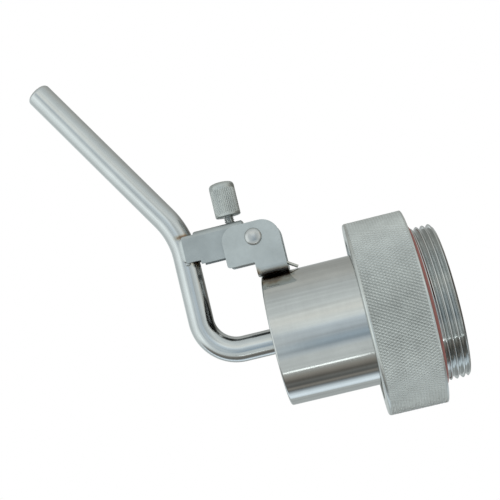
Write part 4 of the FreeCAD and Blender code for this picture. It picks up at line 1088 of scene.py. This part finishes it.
def softened(node, edge, material, body):
    """Copy of a CAD node with its loose triangles merged and its edges rounded by a Bevel."""
    mesh = frame["nodes"][node].data.copy()
    mesh.name = node + "_dressed"
    shape = bmesh.new()
    shape.from_mesh(mesh)
    bmesh.ops.remove_doubles(shape, verts=shape.verts, dist=MERGE_DISTANCE)
    bmesh.ops.dissolve_limit(shape, angle_limit=FLAT_WITHIN, verts=shape.verts, edges=shape.edges)
    shape.to_mesh(mesh)
    shape.free()
    for layer in [a.name for a in mesh.attributes if a.name in ("custom_normal", "sharp_face")]:
        mesh.attributes.remove(mesh.attributes[layer])
    mesh.shade_smooth()
    mesh.set_sharp_from_angle(angle=SHARP_OVER)
    mesh.materials.clear()
    mesh.materials.append(material)
    made = bpy.data.objects.new(node + "_dressed", mesh)
    scene.collection.objects.link(made)
    bevel = made.modifiers.new("soft_edges", "BEVEL")
    bevel.width = edge * MM
    bevel.segments = 3
    bevel.limit_method = "ANGLE"
    bevel.angle_limit = BEVEL_OVER
    bevel.harden_normals = True
    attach(made, body)
    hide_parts(node)
    print(made.name, len(mesh.polygons), "faces before its bevel")


softened("lever_channel", 0.22, channel_shaded_finish, "lever")
softened("pivot_bracket", 0.25, sheet_finish, "tap_body")
softened("lock_stop_plate", 0.2, plate_shaded_finish, "tap_body")
softened("stem_fork", 0.3, turned_finish, "valve")
softened("guide_spider", 0.2, turned_finish, "tap_body")
softened("stem_nut", 0.3, turned_finish, "valve")

# %% [markdown]
# The rod is welded to the channel along the channel's left edge, and the weld is ground nearly flush. Left
# out, rod and sheet would meet in a hard line that no weld has. Across it, each weld is a low arch from the
# sheet's edge to the rod's side, and its width follows a rounded rectangle, so that both ends sink into the
# rod. A small bead of metal is left at its lower end, where it catches the light.

# %% Welds
WELD_LOW, WELD_HIGH = 37.2, 47.0
# X and Y of the places that the weld joins, of its core inside the rod, and of the way that it bulges
SHEET_EDGE, ROD_SIDE = np.array([-85.2, 6.0]), np.array([-87.4, 4.8])
WELD_CORE, BULGE_WAY = np.array([-85.8, 4.4]), np.array([-0.53, 0.85])
WELD_ARCH, WELD_SINK = 0.15, 0.8
END_WIDTH, END_SHARPNESS, RIPPLE, RIPPLES = 0.35, 5, 0.04, 9
BEAD_HALF_LENGTH, BEAD_R, BEAD_Y, BEAD_Z = 1.1, 0.8, 5.3, 36.7

weld_t = np.linspace(-1, 1, 49)[:, None]
weld_u = np.linspace(0, 1, 13)[None, :]
fullness = np.sqrt((1 - np.abs(weld_t) ** END_SHARPNESS).clip(0))
reach = weld_u * (END_WIDTH + (1 - END_WIDTH) * fullness) * (1 + RIPPLE * np.sin(RIPPLES * weld_t))
arch = WELD_ARCH * np.sin(math.pi * weld_u) * fullness - WELD_SINK * (1 - fullness)
outer = SHEET_EDGE + (ROD_SIDE - SHEET_EDGE) * reach[..., None] + BULGE_WAY * arch[..., None]
level = np.concatenate([outer, np.broadcast_to(WELD_CORE, (len(weld_t), 1, 2))], 1)
weld_z = (WELD_LOW + WELD_HIGH) / 2 + (WELD_HIGH - WELD_LOW) / 2 * weld_t
weld = np.concatenate([level, np.broadcast_to(weld_z[..., None], (*level.shape[:2], 1))], -1)
polar = np.linspace(NEAR_POLE, math.pi - NEAR_POLE, 14)
bead = np.stack([-np.cos(polar) * BEAD_HALF_LENGTH, np.sin(polar) * BEAD_R], 1)
for side, side_name in ((-1, "near"), (1, "far")):
    points, faces = skin(weld * (1, side, 1))
    place_piece(f"channel_weld_{side_name}", points, faces, weld_finish, "sheet_steel", "lever",
                sharp_over=70)
    points, faces = skin(turned(bead, X, (SHEET_EDGE[X], side * BEAD_Y, BEAD_Z), 24))
    place_piece(f"weld_bead_{side_name}", points, faces, weld_finish, "sheet_steel", "lever")

# %% [markdown]
# Two nodes stay as the CAD made them, because other pieces hide them. They only need their finishes.

# %% Hidden CAD nodes
for node, finish in (("swivel_o_rings", black_rubber), ("pivot_bush", turned_finish)):
    shown = frame["nodes"][node]
    shown.data.materials.clear()
    shown.data.materials.append(finish)
    print(node, "keeps its CAD shape")
